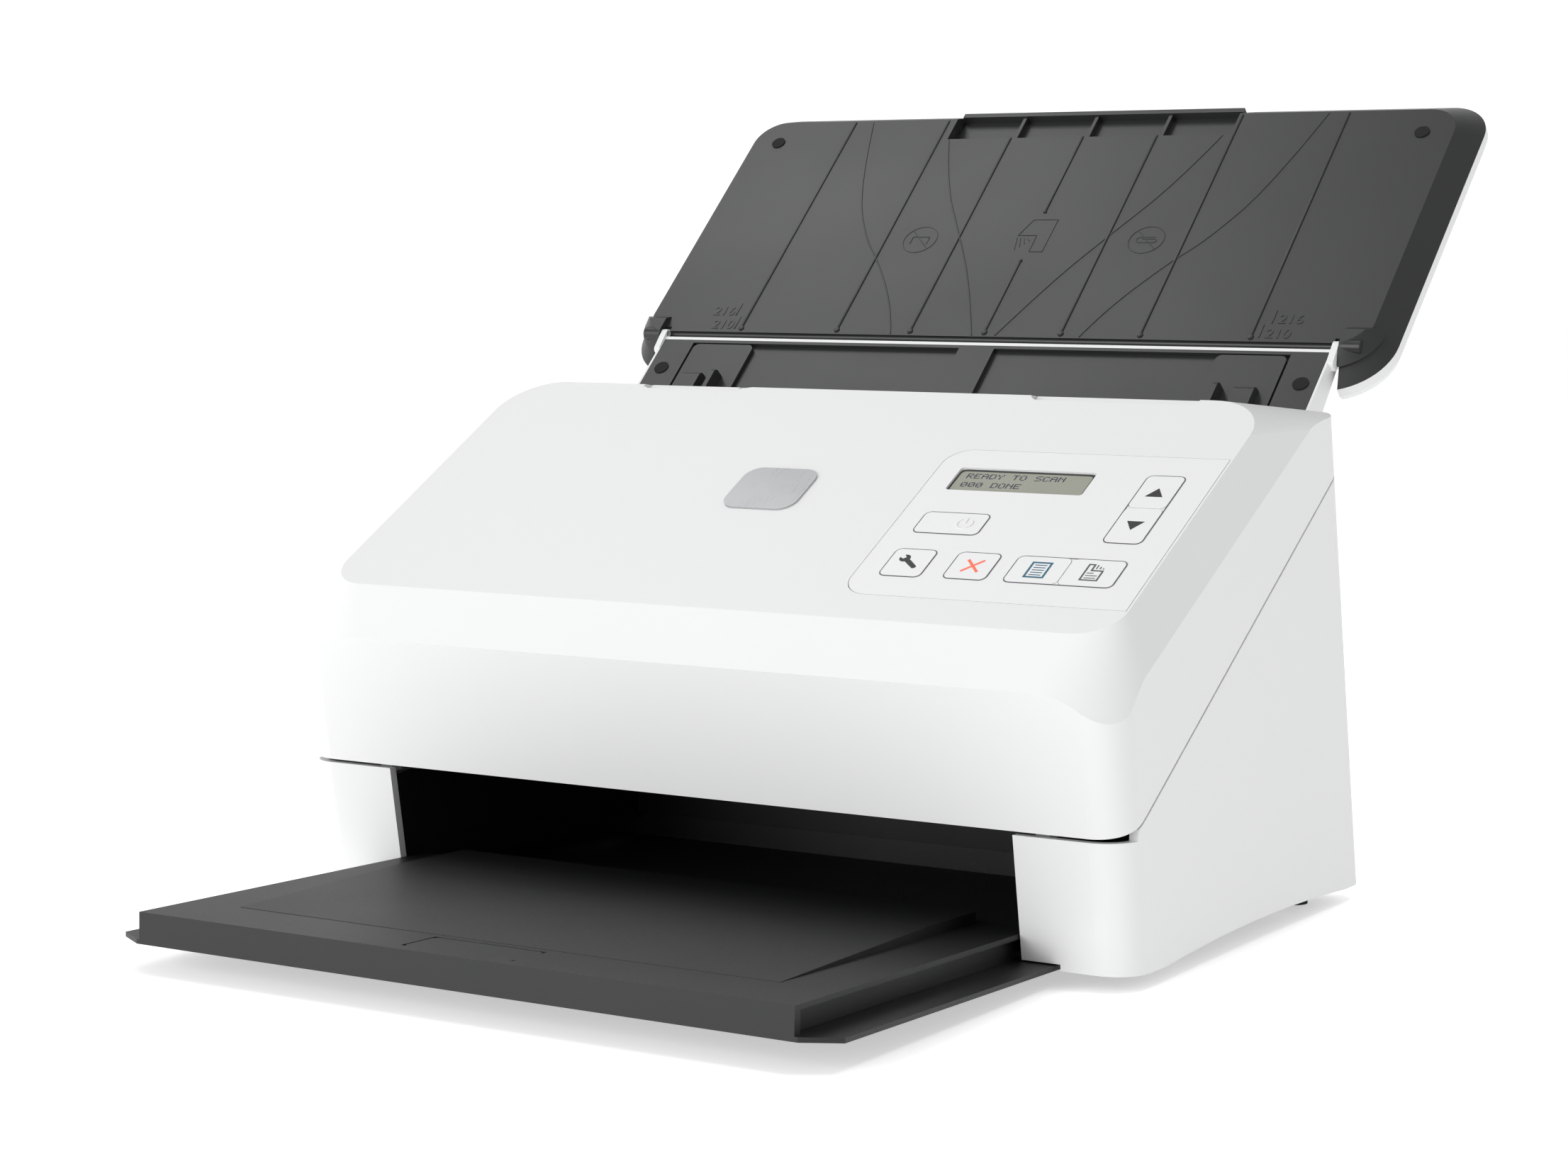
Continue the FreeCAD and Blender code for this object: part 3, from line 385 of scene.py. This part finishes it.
class Finishes:
    """Every finish of the scanner, made into a material once, when it is first used."""

    RECIPES: dict[str, Finish] = {
        "white_shell": MouldedPlastic((0.75, 0.752, 0.755), 0.44, Texture.SATIN, 0.012),
        "white_panel": MouldedPlastic((0.77, 0.772, 0.775), 0.4, Texture.SATIN, 0.01),
        "white_key": MouldedPlastic((0.78, 0.782, 0.785), 0.34, Texture.GLOSS, 0.01),
        "charcoal": MouldedPlastic((0.0175, 0.018, 0.019), 0.38, Texture.SPARK, 0.1),
        "black_plastic": MouldedPlastic((0.004, 0.0042, 0.0046), 0.5, Texture.SPARK, 0.12),
        "dark_frame": MouldedPlastic((0.012, 0.0122, 0.0128), 0.5, Texture.PEBBLE, 0.12),
        "display_body": MouldedPlastic((0.01, 0.01, 0.011), 0.4, Texture.GLOSS, 0.1),
        "connector": MouldedPlastic((0.014, 0.014, 0.015), 0.34, Texture.GLOSS, 0.1),
        "pale_roller": MouldedPlastic((0.5, 0.51, 0.5), 0.42, Texture.SATIN, 0.04),
        "rubber": Rubber((0.008, 0.008, 0.0085)),
        "roller_rubber": Rubber((0.045, 0.055, 0.065), 0.7, 0.0003, 260.0),
        "belt": Rubber((0.012, 0.012, 0.012), 0.75, 0.0004),
        "steel": Metal((0.58, 0.58, 0.57), 0.26, (2400.0, 120.0, 120.0)),
        "motor_body": Metal((0.42, 0.42, 0.43), 0.34, (900.0, 60.0, 60.0)),
        "badge_metal": Metal((0.5, 0.51, 0.52), 0.3, (2600.0, 90.0, 90.0), 0.000003),
        "zinc_sheet": ZincSheet(),
        "scan_glass": DarkGlass(),
        "display": CrystalDisplay(),
        "board": CircuitBoard(),
        "ink_dark": Ink((0.013, 0.013, 0.014)),
        # grey print ink; it also paints the shade in the gaps round the keys
        "ink_grey": Ink((0.07, 0.07, 0.075)),
        "ink_coral": Ink((0.83, 0.14, 0.075)),
        "ink_teal": Ink((0.014, 0.105, 0.165)),
        "crystal_dark": Ink((0.012, 0.013, 0.04)),
        # near black gloss, painted shade of the display's recess
        "bezel": MouldedPlastic((0.006, 0.006, 0.0065), 0.3, Texture.GLOSS, 0.1),
        "studio_floor": MouldedPlastic((0.94, 0.94, 0.94), 0.9, Texture.SATIN, 0.002, glow=0.48),
    }
    MADE: dict[str, bpy.types.Material] = {}

    @classmethod
    def get(cls, name: str) -> bpy.types.Material:
        """The material of that name."""
        if name not in cls.MADE:
            graph = Graph(name)
            cls.RECIPES[name].paint(graph)
            cls.MADE[name] = graph.material
        return cls.MADE[name]

    @classmethod
    def dress(cls, piece: bpy.types.Object, name: str) -> None:
        """Gives a piece one finish all over."""
        piece.data.materials.clear()
        piece.data.materials.append(cls.get(name))


# ---------------------------------------------------------------- modelling


@dataclass(frozen=True)
class Plane:
    """A plane that pieces are laid out on in millimetres: its origin in the frame and its tilt about X."""

    origin: tuple[float, float, float]
    tilt: float

    @property
    def matrix(self) -> Matrix:
        """From millimetres on the plane to metres in the frame."""
        shift = Matrix.Translation(Vector(self.origin) * MM)
        return shift @ Matrix.Rotation(math.radians(self.tilt), 4, "X") @ Matrix.Scale(MM, 4)


FACE = Plane((0.0, -85.22, 107.79), 29.12)
TRAY = Plane((0.0, 106.5, 187.21), 43.0)


class Bench:
    """The operators used by hand, each on one piece and with nothing else selected."""

    @staticmethod
    def clear() -> None:
        """Leaves edit mode and deselects everything."""
        if bpy.context.object and bpy.context.object.mode != "OBJECT":
            bpy.ops.object.mode_set(mode="OBJECT")
        bpy.ops.object.select_all(action="DESELECT")

    @classmethod
    def take(cls, *pieces: bpy.types.Object) -> bpy.types.Object:
        """Selects only these pieces and makes the first one active."""
        cls.clear()
        for piece in pieces:
            piece.select_set(True)
        bpy.context.view_layer.objects.active = pieces[0]
        return pieces[0]

    @classmethod
    def pick(cls, piece: bpy.types.Object, wanted: Callable[[bpy.types.MeshPolygon], bool]) -> None:
        """Opens a piece in edit mode with only the wanted faces selected."""
        cls.take(piece)
        bpy.ops.object.mode_set(mode="EDIT")
        bpy.ops.mesh.select_mode(type="FACE")
        bpy.ops.mesh.select_all(action="DESELECT")
        bpy.ops.object.mode_set(mode="OBJECT")
        for polygon in piece.data.polygons:
            polygon.select = wanted(polygon)
        bpy.ops.object.mode_set(mode="EDIT")

    @classmethod
    def bar(cls, low: Sequence[float], high: Sequence[float], soft: float) -> bpy.types.Object:
        """A bar between two corners whose top edges are rounded.

        Args:
            low: its lowest corner.
            high: its highest corner.
            soft: the radius of the top edges.

        Returns:
            The bar.
        """
        cls.clear()
        low, high = Vector(low), Vector(high)
        bpy.ops.mesh.primitive_cube_add(size=1.0, location=(low + high) / 2, scale=high - low)
        piece = bpy.context.object
        cls.pick(piece, lambda polygon: polygon.normal.z > 0.9)
        bpy.ops.mesh.bevel(offset=soft, segments=2, affect="EDGES")
        bpy.ops.object.mode_set(mode="OBJECT")
        return piece

    @classmethod
    def button(cls, centre: Point, radius: float, low: float, high: float) -> bpy.types.Object:
        """A round boss with a softened rim, standing on the plane."""
        cls.clear()
        place = (*centre, (low + high) / 2)
        bpy.ops.mesh.primitive_cylinder_add(vertices=20, radius=radius, depth=high - low, location=place)
        piece = bpy.context.object
        cls.pick(piece, lambda polygon: polygon.normal.z > 0.9)
        bpy.ops.mesh.bevel(offset=(high - low) * 0.45, segments=2, affect="EDGES")
        bpy.ops.object.mode_set(mode="OBJECT")
        return piece

    @classmethod
    def plate(cls, loops: Iterable[Loop], low: float, high: float) -> bpy.types.Object:
        """A flat plate with closed outlines; an outline inside another is a hole."""
        curve = bpy.data.curves.new("plate", "CURVE")
        curve.dimensions = "2D"
        curve.fill_mode = "BOTH"
        curve.extrude = (high - low) / 2
        for loop in loops:
            spline = curve.splines.new("POLY")
            spline.points.add(len(loop) - 1)
            for point, (x, y) in zip(spline.points, loop):
                point.co = (x, y, 0.0, 1.0)
            spline.use_cyclic_u = True
        piece = bpy.data.objects.new("plate", curve)
        bpy.context.scene.collection.objects.link(piece)
        piece.location.z = (low + high) / 2
        return cls.meshed(piece)

    @classmethod
    def bead(
        cls, paths: Iterable[Loop], radius: float, height: float = 0.0, smooth: bool = False
    ) -> bpy.types.Object:
        """Round raised lines that follow open paths.

        Args:
            paths: the points of each line.
            radius: the radius of the lines.
            height: how high the middle of the lines is above the plane.
            smooth: curves through the points, not straight runs.

        Returns:
            The lines as one piece.
        """
        curve = bpy.data.curves.new("bead", "CURVE")
        curve.dimensions = "3D"
        curve.bevel_depth = radius
        curve.bevel_resolution = 1
        curve.use_fill_caps = True
        for path in paths:
            spline = curve.splines.new("NURBS" if smooth else "POLY")
            spline.points.add(len(path) - 1)
            for point, (x, y) in zip(spline.points, path):
                point.co = (x, y, height, 1.0)
            if smooth:
                spline.order_u = 3
                spline.use_endpoint_u = True
                spline.resolution_u = 10
        piece = bpy.data.objects.new("bead", curve)
        bpy.context.scene.collection.objects.link(piece)
        return cls.meshed(piece)

    @classmethod
    def meshed(cls, piece: bpy.types.Object) -> bpy.types.Object:
        """Makes a curve or text a closed mesh with its normals outwards."""
        cls.take(piece)
        bpy.ops.object.convert(target="MESH")
        piece = bpy.context.object
        bpy.ops.object.mode_set(mode="EDIT")
        bpy.ops.mesh.select_all(action="SELECT")
        bpy.ops.mesh.remove_doubles(threshold=0.0005)
        bpy.ops.mesh.normals_make_consistent(inside=False)
        bpy.ops.object.mode_set(mode="OBJECT")
        return piece

    @classmethod
    def numeral(cls, body: str, corner: Point, height: float, low: float, high: float) -> bpy.types.Object:
        """Raised figures, standing on the plane with their lower left corner there."""
        cls.clear()
        bpy.ops.object.text_add(location=(*corner, (low + high) / 2))
        piece = bpy.context.object
        piece.data.body = body
        piece.data.size = height / 0.72
        piece.data.extrude = (high - low) / 2
        piece.data.resolution_u = 4
        return cls.meshed(piece)

    @classmethod
    def joined(cls, pieces: Sequence[bpy.types.Object]) -> bpy.types.Object:
        """The pieces as one."""
        first = cls.take(*pieces)
        if len(pieces) > 1:
            bpy.ops.object.join()
        return first

    @classmethod
    def seated(cls, piece: bpy.types.Object, name: str, plane: Plane) -> bpy.types.Object:
        """Puts a piece that was modelled on a plane into its place in the frame, in its mesh."""
        cls.take(piece)
        bpy.ops.object.transform_apply(location=True, rotation=True, scale=True)
        piece.matrix_world = plane.matrix
        bpy.ops.object.transform_apply(location=True, rotation=True, scale=True)
        bpy.ops.object.shade_smooth_by_angle(angle=math.radians(35))
        piece.name = piece.data.name = name
        return piece


def report(piece: bpy.types.Object, body: str, finish: str) -> None:
    """Dresses a finished piece, makes it ride and logs it."""
    Finishes.dress(piece, finish)
    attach(piece, body)
    log.info("%s: %d faces, rides on %s", piece.name, len(piece.data.polygons), body)


def arc(centre: Point, radius: float, start: float, end: float, steps: int) -> list[Point]:
    """Points on an arc, with its angles in degrees."""
    turns = [math.radians(start + (end - start) * step / steps) for step in range(steps + 1)]
    return [(centre[0] + radius * math.cos(a), centre[1] + radius * math.sin(a)) for a in turns]


def rectangle(x0: float, y0: float, x1: float, y1: float) -> list[Point]:
    """The outline of a rectangle."""
    return [(x0, y0), (x1, y0), (x1, y1), (x0, y1)]


def rounded(x0: float, y0: float, x1: float, y1: float, radius: float) -> list[Point]:
    """The outline of a rectangle with round corners."""
    corners = ((x1, y0, -90), (x1, y1, 0), (x0, y1, 90), (x0, y0, 180))
    points: list[Point] = []
    for x, y, start in corners:
        centre = (x - math.copysign(radius, x - (x0 + x1) / 2), y - math.copysign(radius, y - (y0 + y1) / 2))
        points += arc(centre, radius, start, start + 90, 5)
    return points


def mirrored(path: Loop) -> list[Point]:
    """The path on the other side of the middle."""
    return [(-x, y) for x, y in path]


# ---------------------------------------------------------------- sub-assemblies


@dataclass
class Frame:
    """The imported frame, whose nodes keep their shape and get the finish of their slot."""

    nodes: dict[str, bpy.types.Object]

    def dress(self) -> None:
        """Gives each node the finish that its material slot names."""
        for name, node in sorted(self.nodes.items()):
            finishes = [material.name.split(".")[0] for material in node.data.materials]
            for index, finish in enumerate(finishes):
                node.data.materials[index] = Finishes.get(finish)
            log.info("%s: %s", name, ", ".join(finishes))


@dataclass
class InputTray:
    """The relief moulded on the front of the input tray, in millimetres on its plane."""

    sink: float = -0.3
    rib_top: float = 0.42
    rib_width: float = 0.95
    rib_soft: float = 0.3
    foot_radius: float = 1.15
    stop_radius: float = 0.8
    hinge_clear: float = 2.1
    long_ribs: tuple[float, ...] = (62.4, 104.7)
    long_end: float = 120.0
    short_ribs: tuple[float, ...] = (31.0,)
    short_end: float = 109.3
    icon_gap: tuple[float, float] = (41.0, 67.5)
    line: float = 0.3
    inner_curve: tuple[Point, ...] = ((4.8, 1.9), (16.5, 29), (31.5, 55), (48.4, 83), (58, 108.8))
    outer_curve: tuple[Point, ...] = (
        (38.8, 1.9), (44.3, 16), (60.6, 40.6), (70.7, 51.7), (86.2, 79.7), (96.7, 120)
    )
    sheet_icon: tuple[Point, ...] = (
        (-2.9, 63.2), (7.2, 63.2), (7.0, 45.9), (1.5, 45.9), (1.5, 54.6), (-6.3, 54.6), (-2.9, 63.2)
    )
    icon_centre: Point = (47.2, 52.3)
    icon_radius: float = 7.0

    def ribs(self) -> bpy.types.Object:
        """The straight ribs that the sheets slide on, each with a round foot."""
        low = self.hinge_clear
        spans = [(side * x, low, self.long_end) for x in self.long_ribs for side in (-1, 1)]
        spans += [(side * x, low, self.short_end) for x in self.short_ribs for side in (-1, 1)]
        spans += [(0.0, low, self.icon_gap[0]), (0.0, self.icon_gap[1], self.short_end)]
        half = self.rib_width / 2
        pieces = []
        for x, t0, t1 in spans:
            pieces.append(Bench.bar((x - half, t0, self.sink), (x + half, t1, self.rib_top), self.rib_soft))
        top = self.rib_top + 0.05
        for x in sorted({span[0] for span in spans if span[1] == low}):
            foot = (x, low + self.foot_radius + 0.1)
            pieces.append(Bench.button(foot, self.foot_radius, self.sink, top))
        pieces += [Bench.button((0.0, t), self.stop_radius, self.sink, top) for t in self.icon_gap]
        return Bench.seated(Bench.joined(pieces), "tray_ribs", TRAY)

    def curves(self) -> bpy.types.Object:
        """The swept lines that cross the ribs, the same on both sides."""
        paths = [self.inner_curve, self.outer_curve]
        paths += [mirrored(path) for path in paths]
        return Bench.seated(Bench.bead(paths, self.line, 0.0, smooth=True), "tray_curves", TRAY)

    def icons(self) -> bpy.types.Object:
        """The raised outlines: a sheet face down, no staples and no clips."""
        x, t = self.icon_centre
        radius = self.icon_radius
        hatch = [[(-6.3 + 1.5 * k, 53.6 - 0.25 * k), (-4.9 + 1.5 * k, 46.9 + 1.6 * k)] for k in range(4)]
        slash = radius * math.sin(math.radians(45))
        paths: list[Loop] = [self.sheet_icon, *hatch]
        for side in (-1, 1):
            middle = (side * x, t)
            paths.append(arc(middle, radius, 0, 360, 32))
            paths.append([(middle[0] - slash, t + slash), (middle[0] + slash, t - slash)])
        staple = [(-x - 3.6, t - 1.8), (-x - 3.6, t + 1.8), (-x + 3.6, t + 1.8), (-x + 3.6, t - 1.8)]
        staple = [(px, py - 0.4) for px, py in staple]
        clip = [(x + 3.4, t + 1.4), *arc((x - 2.6, t), 1.4, 90, 270, 8)]
        clip += [*arc((x + 3.2, t - 0.45), 0.95, -90, 90, 8), (x - 1.6, t + 0.5)]
        paths += [staple, clip]
        return Bench.seated(Bench.bead(paths, 0.2, 0.02), "tray_icons", TRAY)

    def size_marks(self) -> bpy.types.Object:
        """The two sheet widths on each side: a tick at the edge and its figures outside."""
        pieces = []
        for side in (-1, 1):
            for edge, foot, figures in ((107.7, 3.0, "210"), (110.3, 10.2, "216")):
                tick = side * edge
                low, high = (tick - 0.25, foot, self.sink), (tick + 0.25, foot + 6.4, 0.18)
                pieces.append(Bench.bar(low, high, 0.08))
                corner = (tick + 2.0, foot) if side > 0 else (tick - 10.6, foot)
                pieces.append(Bench.numeral(figures, corner, 4.6, -0.1, 0.16))
        return Bench.seated(Bench.joined(pieces), "tray_size_marks", TRAY)

    def build(self) -> None:
        """Builds the relief and makes it ride on the tray."""
        for piece in (self.ribs(), self.curves(), self.icons(), self.size_marks()):
            report(piece, "input_tray", "charcoal")


class Mark(Enum):
    """The printed marks of the keys, by the key that carries them."""

    TOOLS = "tools_key"
    CANCEL = "cancel_key"
    SIMPLEX = "simplex_key"
    DUPLEX = "duplex_key"
    UP = "up_key"
    DOWN = "down_key"
    POWER = "power_key"


@dataclass
class ControlPanel:
    """The marks on the keys and the dots of the display, in millimetres on the slanted face."""

    key_top: float = 0.15
    ink: float = 0.05
    glass_top: float = -0.8
    stroke: float = 0.55
    display: tuple[float, float, float, float] = (56.75, 72.95, 105.55, 85.85)
    dot: Point = (0.42, 0.36)
    pitch: Point = (0.46, 0.4)
    rows: tuple[tuple[float, str], ...] = ((83.7, "READY TO SCAN"), (78.7, "000 DONE"))
    # inner and outer offsets of the painted shade ring round each key
    groove_shade_band: tuple[float, float] = (0.02, 0.42)

    GLYPHS = {
        "R": ("11110", "10001", "10001", "11110", "10100", "10010", "10001"),
        "E": ("11111", "10000", "10000", "11110", "10000", "10000", "11111"),
        "A": ("01110", "10001", "10001", "11111", "10001", "10001", "10001"),
        "D": ("11110", "10001", "10001", "10001", "10001", "10001", "11110"),
        "Y": ("10001", "10001", "01010", "00100", "00100", "00100", "00100"),
        "0": ("01110", "10001", "10011", "10101", "11001", "10001", "01110"),
        "T": ("11111", "00100", "00100", "00100", "00100", "00100", "00100"),
        "O": ("01110", "10001", "10001", "10001", "10001", "10001", "01110"),
        "S": ("01111", "10000", "10000", "01110", "00001", "00001", "11110"),
        "C": ("01110", "10001", "10000", "10000", "10000", "10001", "01110"),
        "N": ("10001", "11001", "10101", "10011", "10001", "10001", "10001"),
    }

    def spanner(self) -> list[Loop]:
        """An open ended spanner laid from upper left to lower right."""
        head, reach, half = 1.9, 7.6, 0.85
        shape = arc((0.0, 0.0), head, 28, 152, 10) + [(-0.1, 0.62), (-0.1, -0.62)]
        shape += arc((0.0, 0.0), head, 208, 332, 10) + arc((reach - half, 0.0), half, -90, 90, 8)
        turn = math.radians(-40.4)
        c, s = math.cos(turn), math.sin(turn)
        return [[(61.9 + x * c - y * s, 33.2 + x * s + y * c) for x, y in shape]]

    def cross(self) -> list[Loop]:
        """A cross of two even strokes."""
        x, y = 86.95, 31.2
        reach, half = 2.6, 0.42
        inner = half * math.sqrt(2)
        points: list[Point] = []
        for step in range(4):
            a = math.radians(45 + 90 * step)
            along, side = Vector((math.cos(a), math.sin(a))), Vector((-math.sin(a), math.cos(a)))
            tip = along * (reach * 1.5)
            points += [tuple(tip - side * half), tuple(tip + side * half)]
            b = a + math.radians(45)
            points.append((inner * math.cos(b), inner * math.sin(b)))
        return [[(x + px * 1.05, y + py * 1.15) for px, py in points]]

    def page(self) -> list[Loop]:
        """One filled page: its outline and five lines."""
        x0, y0, x1, y1, stroke = 106.1, 26.8, 113.2, 35.3, 0.75
        loops = [rectangle(x0, y0, x1, y1), rectangle(x0 + stroke, y0 + stroke, x1 - stroke, y1 - stroke)]
        loops += [rectangle(x0 + 1.5, y - 0.2, x1 - 1.5, y + 0.2) for y in (28.4, 29.7, 31.0, 32.3, 33.6)]
        return loops

    def pages(self) -> list[Loop]:
        """Two sided copy: a page whose corner turns over, with lines on both faces."""
        outer = [(125.1, 27.0), (131.4, 27.0), (131.4, 32.7), (127.6, 32.7), (127.6, 35.8), (125.1, 35.8)]
        inner = [(125.7, 27.6), (130.8, 27.6), (130.8, 32.1), (127.0, 32.1), (127.0, 35.2), (125.7, 35.2)]
        loops = [outer, inner]
        lines = ((28.4, 130.2), (29.7, 130.2), (31.0, 128.6))
        loops += [rectangle(126.3, y - 0.18, x1, y + 0.18) for y, x1 in lines]
        loops += [rectangle(x, 33.3, x + 0.4, y1) for x, y1 in ((128.3, 35.4), (129.5, 34.6), (130.6, 33.9))]
        return loops

    def triangle(self, centre: Point, up: bool) -> list[Loop]:
        """A filled arrow head."""
        x, y = centre
        tip = 2.4 if up else -2.4
        return [[(x - 3.0, y - tip), (x + 3.0, y - tip), (x, y + tip)]]

    def power(self) -> list[Loop]:
        """A ring open at the top with a bar in the opening."""
        middle, outer, inner = (73.2, 53.7), 2.95, 2.4
        ring = arc(middle, outer, 125, 415, 28) + arc(middle, inner, 415, 125, 28)
        return [ring, rectangle(middle[0] - 0.3, middle[1] + 0.2, middle[0] + 0.3, middle[1] + 3.1)]

    def marks(self) -> None:
        """Prints every key's mark, riding on its key."""
        drawn = {
            Mark.TOOLS: (self.spanner(), "ink_dark"),
            Mark.CANCEL: (self.cross(), "ink_coral"),
            Mark.SIMPLEX: (self.page(), "ink_teal"),
            Mark.DUPLEX: (self.pages(), "ink_grey"),
            Mark.UP: (self.triangle((130.4, 76.1), True), "ink_dark"),
            Mark.DOWN: (self.triangle((130.4, 57.4), False), "ink_dark"),
            Mark.POWER: (self.power(), "white_panel"),
        }
        for mark, (loops, finish) in drawn.items():
            raised = 0.22 if mark is Mark.POWER else self.ink
            piece = Bench.plate(loops, self.key_top - 0.1, self.key_top + raised)
            name = mark.value.replace("_key", "_mark")
            report(Bench.seated(piece, name, FACE), mark.value, finish)

    def readout(self) -> bpy.types.Object:
        """Two lines of dots, the state and the sheet count."""
        loops = []
        start = self.display[0] + 3.4
        for top, line in self.rows:
            for column, letter in enumerate(line):
                for j, bits in enumerate(self.GLYPHS.get(letter, ())):
                    for i, bit in enumerate(bits):
                        x = start + (column * 6 + i) * self.pitch[0]
                        y = top - j * self.pitch[1]
                        if bit == "1":
                            loops.append(rectangle(x, y - self.dot[1], x + self.dot[0], y))
        dots = Bench.plate(loops, self.glass_top - 0.05, self.glass_top + 0.03)
        return Bench.seated(dots, "display_dots", FACE)

    def seams(self) -> bpy.types.Object:
        """Grey rings of painted shade round the keys, standing for the shadow in their gaps; keys that share
        an opening share one ring.
        """
        groups = (("power_key",), ("tools_key",), ("cancel_key",))
        groups += (("simplex_key", "duplex_key"), ("up_key", "down_key"))
        into = FACE.matrix.inverted()
        rings = []
        for group in groups:
            corners = [into @ vertex.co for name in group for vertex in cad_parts[name].data.vertices]
            x0, x1 = min(c.x for c in corners), max(c.x for c in corners)
            y0, y1 = min(c.y for c in corners), max(c.y for c in corners)
            near, far = self.groove_shade_band
            outer = rounded(x0 - far, y0 - far, x1 + far, y1 + far, 2.0 + far)
            inner = rounded(x0 - near, y0 - near, x1 + near, y1 + near, 2.0 + near)
            rings.append(Bench.plate([outer, inner], -0.3, 0.09))
        return Bench.seated(Bench.joined(rings), "key_groove_shade", FACE)

    def bezel(self) -> bpy.types.Object:
        """A near black ring round the display, painted shade of its recess, wider at the top and right."""
        x0, y0, x1, y1 = self.display
        outer = rounded(x0, y0, x1, y1, 2.0)
        inner = rounded(x0 + 0.5, y0 + 0.35, x1 - 0.75, y1 - 0.85, 1.7)
        # the ring is wider at the top and right, where the recess's shade falls
        shade_ring = Bench.plate([outer, inner], self.glass_top - 0.1, self.glass_top + 0.12)
        return Bench.seated(shade_ring, "display_painted_recess_shade", FACE)

    def build(self) -> None:
        """Builds the marks, the painted shade round the keys, the readout and the painted shade of the
        display's recess.
        """
        self.marks()
        # grey ink ring laid on the face as painted shade of the gaps round the keys
        report(self.seams(), "hatch", "ink_grey")
        report(self.readout(), "hatch", "crystal_dark")
        report(self.bezel(), "hatch", "bezel")


# ---------------------------------------------------------------- studio


@dataclass
class Softbox:
    """A square area light aimed at a point."""

    name: str
    place: tuple[float, float, float]
    size: float
    power: float

    def build(self, aim: Vector) -> None:
        """Hangs the light."""
        light = bpy.data.lights.new(self.name, "AREA")
        light.shape = "SQUARE"
        light.size = self.size
        light.energy = self.power
        lamp = bpy.data.objects.new(self.name, light)
        bpy.context.scene.collection.objects.link(lamp)
        lamp.location = self.place
        lamp.rotation_euler = (aim - lamp.location).to_track_quat("-Z", "Y").to_euler()


@dataclass
class Studio:
    """A pale floor, a bright surround, soft lights and the camera."""

    floor_size: float = 14.0
    horizon: float = 1.12
    zenith: float = 0.42
    right_hand: float = 0.55
    eye: tuple[float, float, float] = (0.57694, -0.95556, 0.22476)
    gaze: tuple[float, float, float] = (-0.52545, 0.84423, -0.10572)
    lens: float = 76.30
    sensor: float = 36.0
    lights: tuple[Softbox, ...] = (
        Softbox("fill_light", (-0.9, -2.2, 0.7), 1.4, 26.0),
        Softbox("key_light", (0.9, -0.2, 1.9), 0.45, 7.0),
        Softbox("top_light", (-1.0, 0.2, 1.85), 0.8, 5.0),
    )

    def floor(self) -> None:
        """Lays the floor."""
        Bench.clear()
        bpy.ops.mesh.primitive_plane_add(size=self.floor_size)
        ground = bpy.context.object
        ground.name = ground.data.name = "studio_floor"
        Finishes.dress(ground, "studio_floor")

    def surroundings(self) -> None:
        """Lights the scene from all round."""
        world = bpy.data.worlds.new("studio")
        bpy.context.scene.world = world
        world.use_nodes = True
        tree = world.node_tree
        place = tree.nodes.new("ShaderNodeTexCoord")
        split = tree.nodes.new("ShaderNodeSeparateXYZ")
        tree.links.new(place.outputs["Generated"], split.inputs["Vector"])
        strength = tree.nodes.new("ShaderNodeMath")
        strength.operation = "MULTIPLY"
        ranges = (("Z", 0.1, 0.8, self.horizon, self.zenith), ("X", 0.2, 0.9, 1.0, self.right_hand))
        for index, (axis, *values) in enumerate(ranges):
            fall = tree.nodes.new("ShaderNodeMapRange")
            for socket, value in zip(("From Min", "From Max", "To Min", "To Max"), values):
                fall.inputs[socket].default_value = value
            tree.links.new(split.outputs[axis], fall.inputs["Value"])
            tree.links.new(fall.outputs["Result"], strength.inputs[index])
        tree.links.new(strength.outputs["Value"], tree.nodes["Background"].inputs["Strength"])
        tree.nodes["Background"].inputs["Color"].default_value = (1.0, 1.0, 1.0, 1.0)
        bpy.context.scene.view_settings.view_transform = "Standard"

    def camera(self) -> None:
        """Sets up the camera."""
        data = bpy.data.cameras.new("camera")
        data.lens = self.lens
        data.sensor_width = self.sensor
        camera = bpy.data.objects.new("camera", data)
        bpy.context.scene.collection.objects.link(camera)
        camera.location = self.eye
        camera.rotation_euler = Vector(self.gaze).to_track_quat("-Z", "Y").to_euler()
        bpy.context.scene.camera = camera

    def build(self) -> None:
        """Builds the studio."""
        self.floor()
        self.surroundings()
        self.camera()
        aim = (CAD_BOX[0] + CAD_BOX[1]) / 2
        for light in self.lights:
            light.build(aim)
            log.info("%s: %.0f W", light.name, light.power)


def main() -> None:
    """Builds the scanner's looks and the studio."""
    logging.basicConfig(level=logging.INFO, format="%(name)s %(message)s")
    Frame(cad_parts).dress()
    InputTray().build()
    ControlPanel().build()
    Studio().build()


if __name__ == "__main__":
    main()
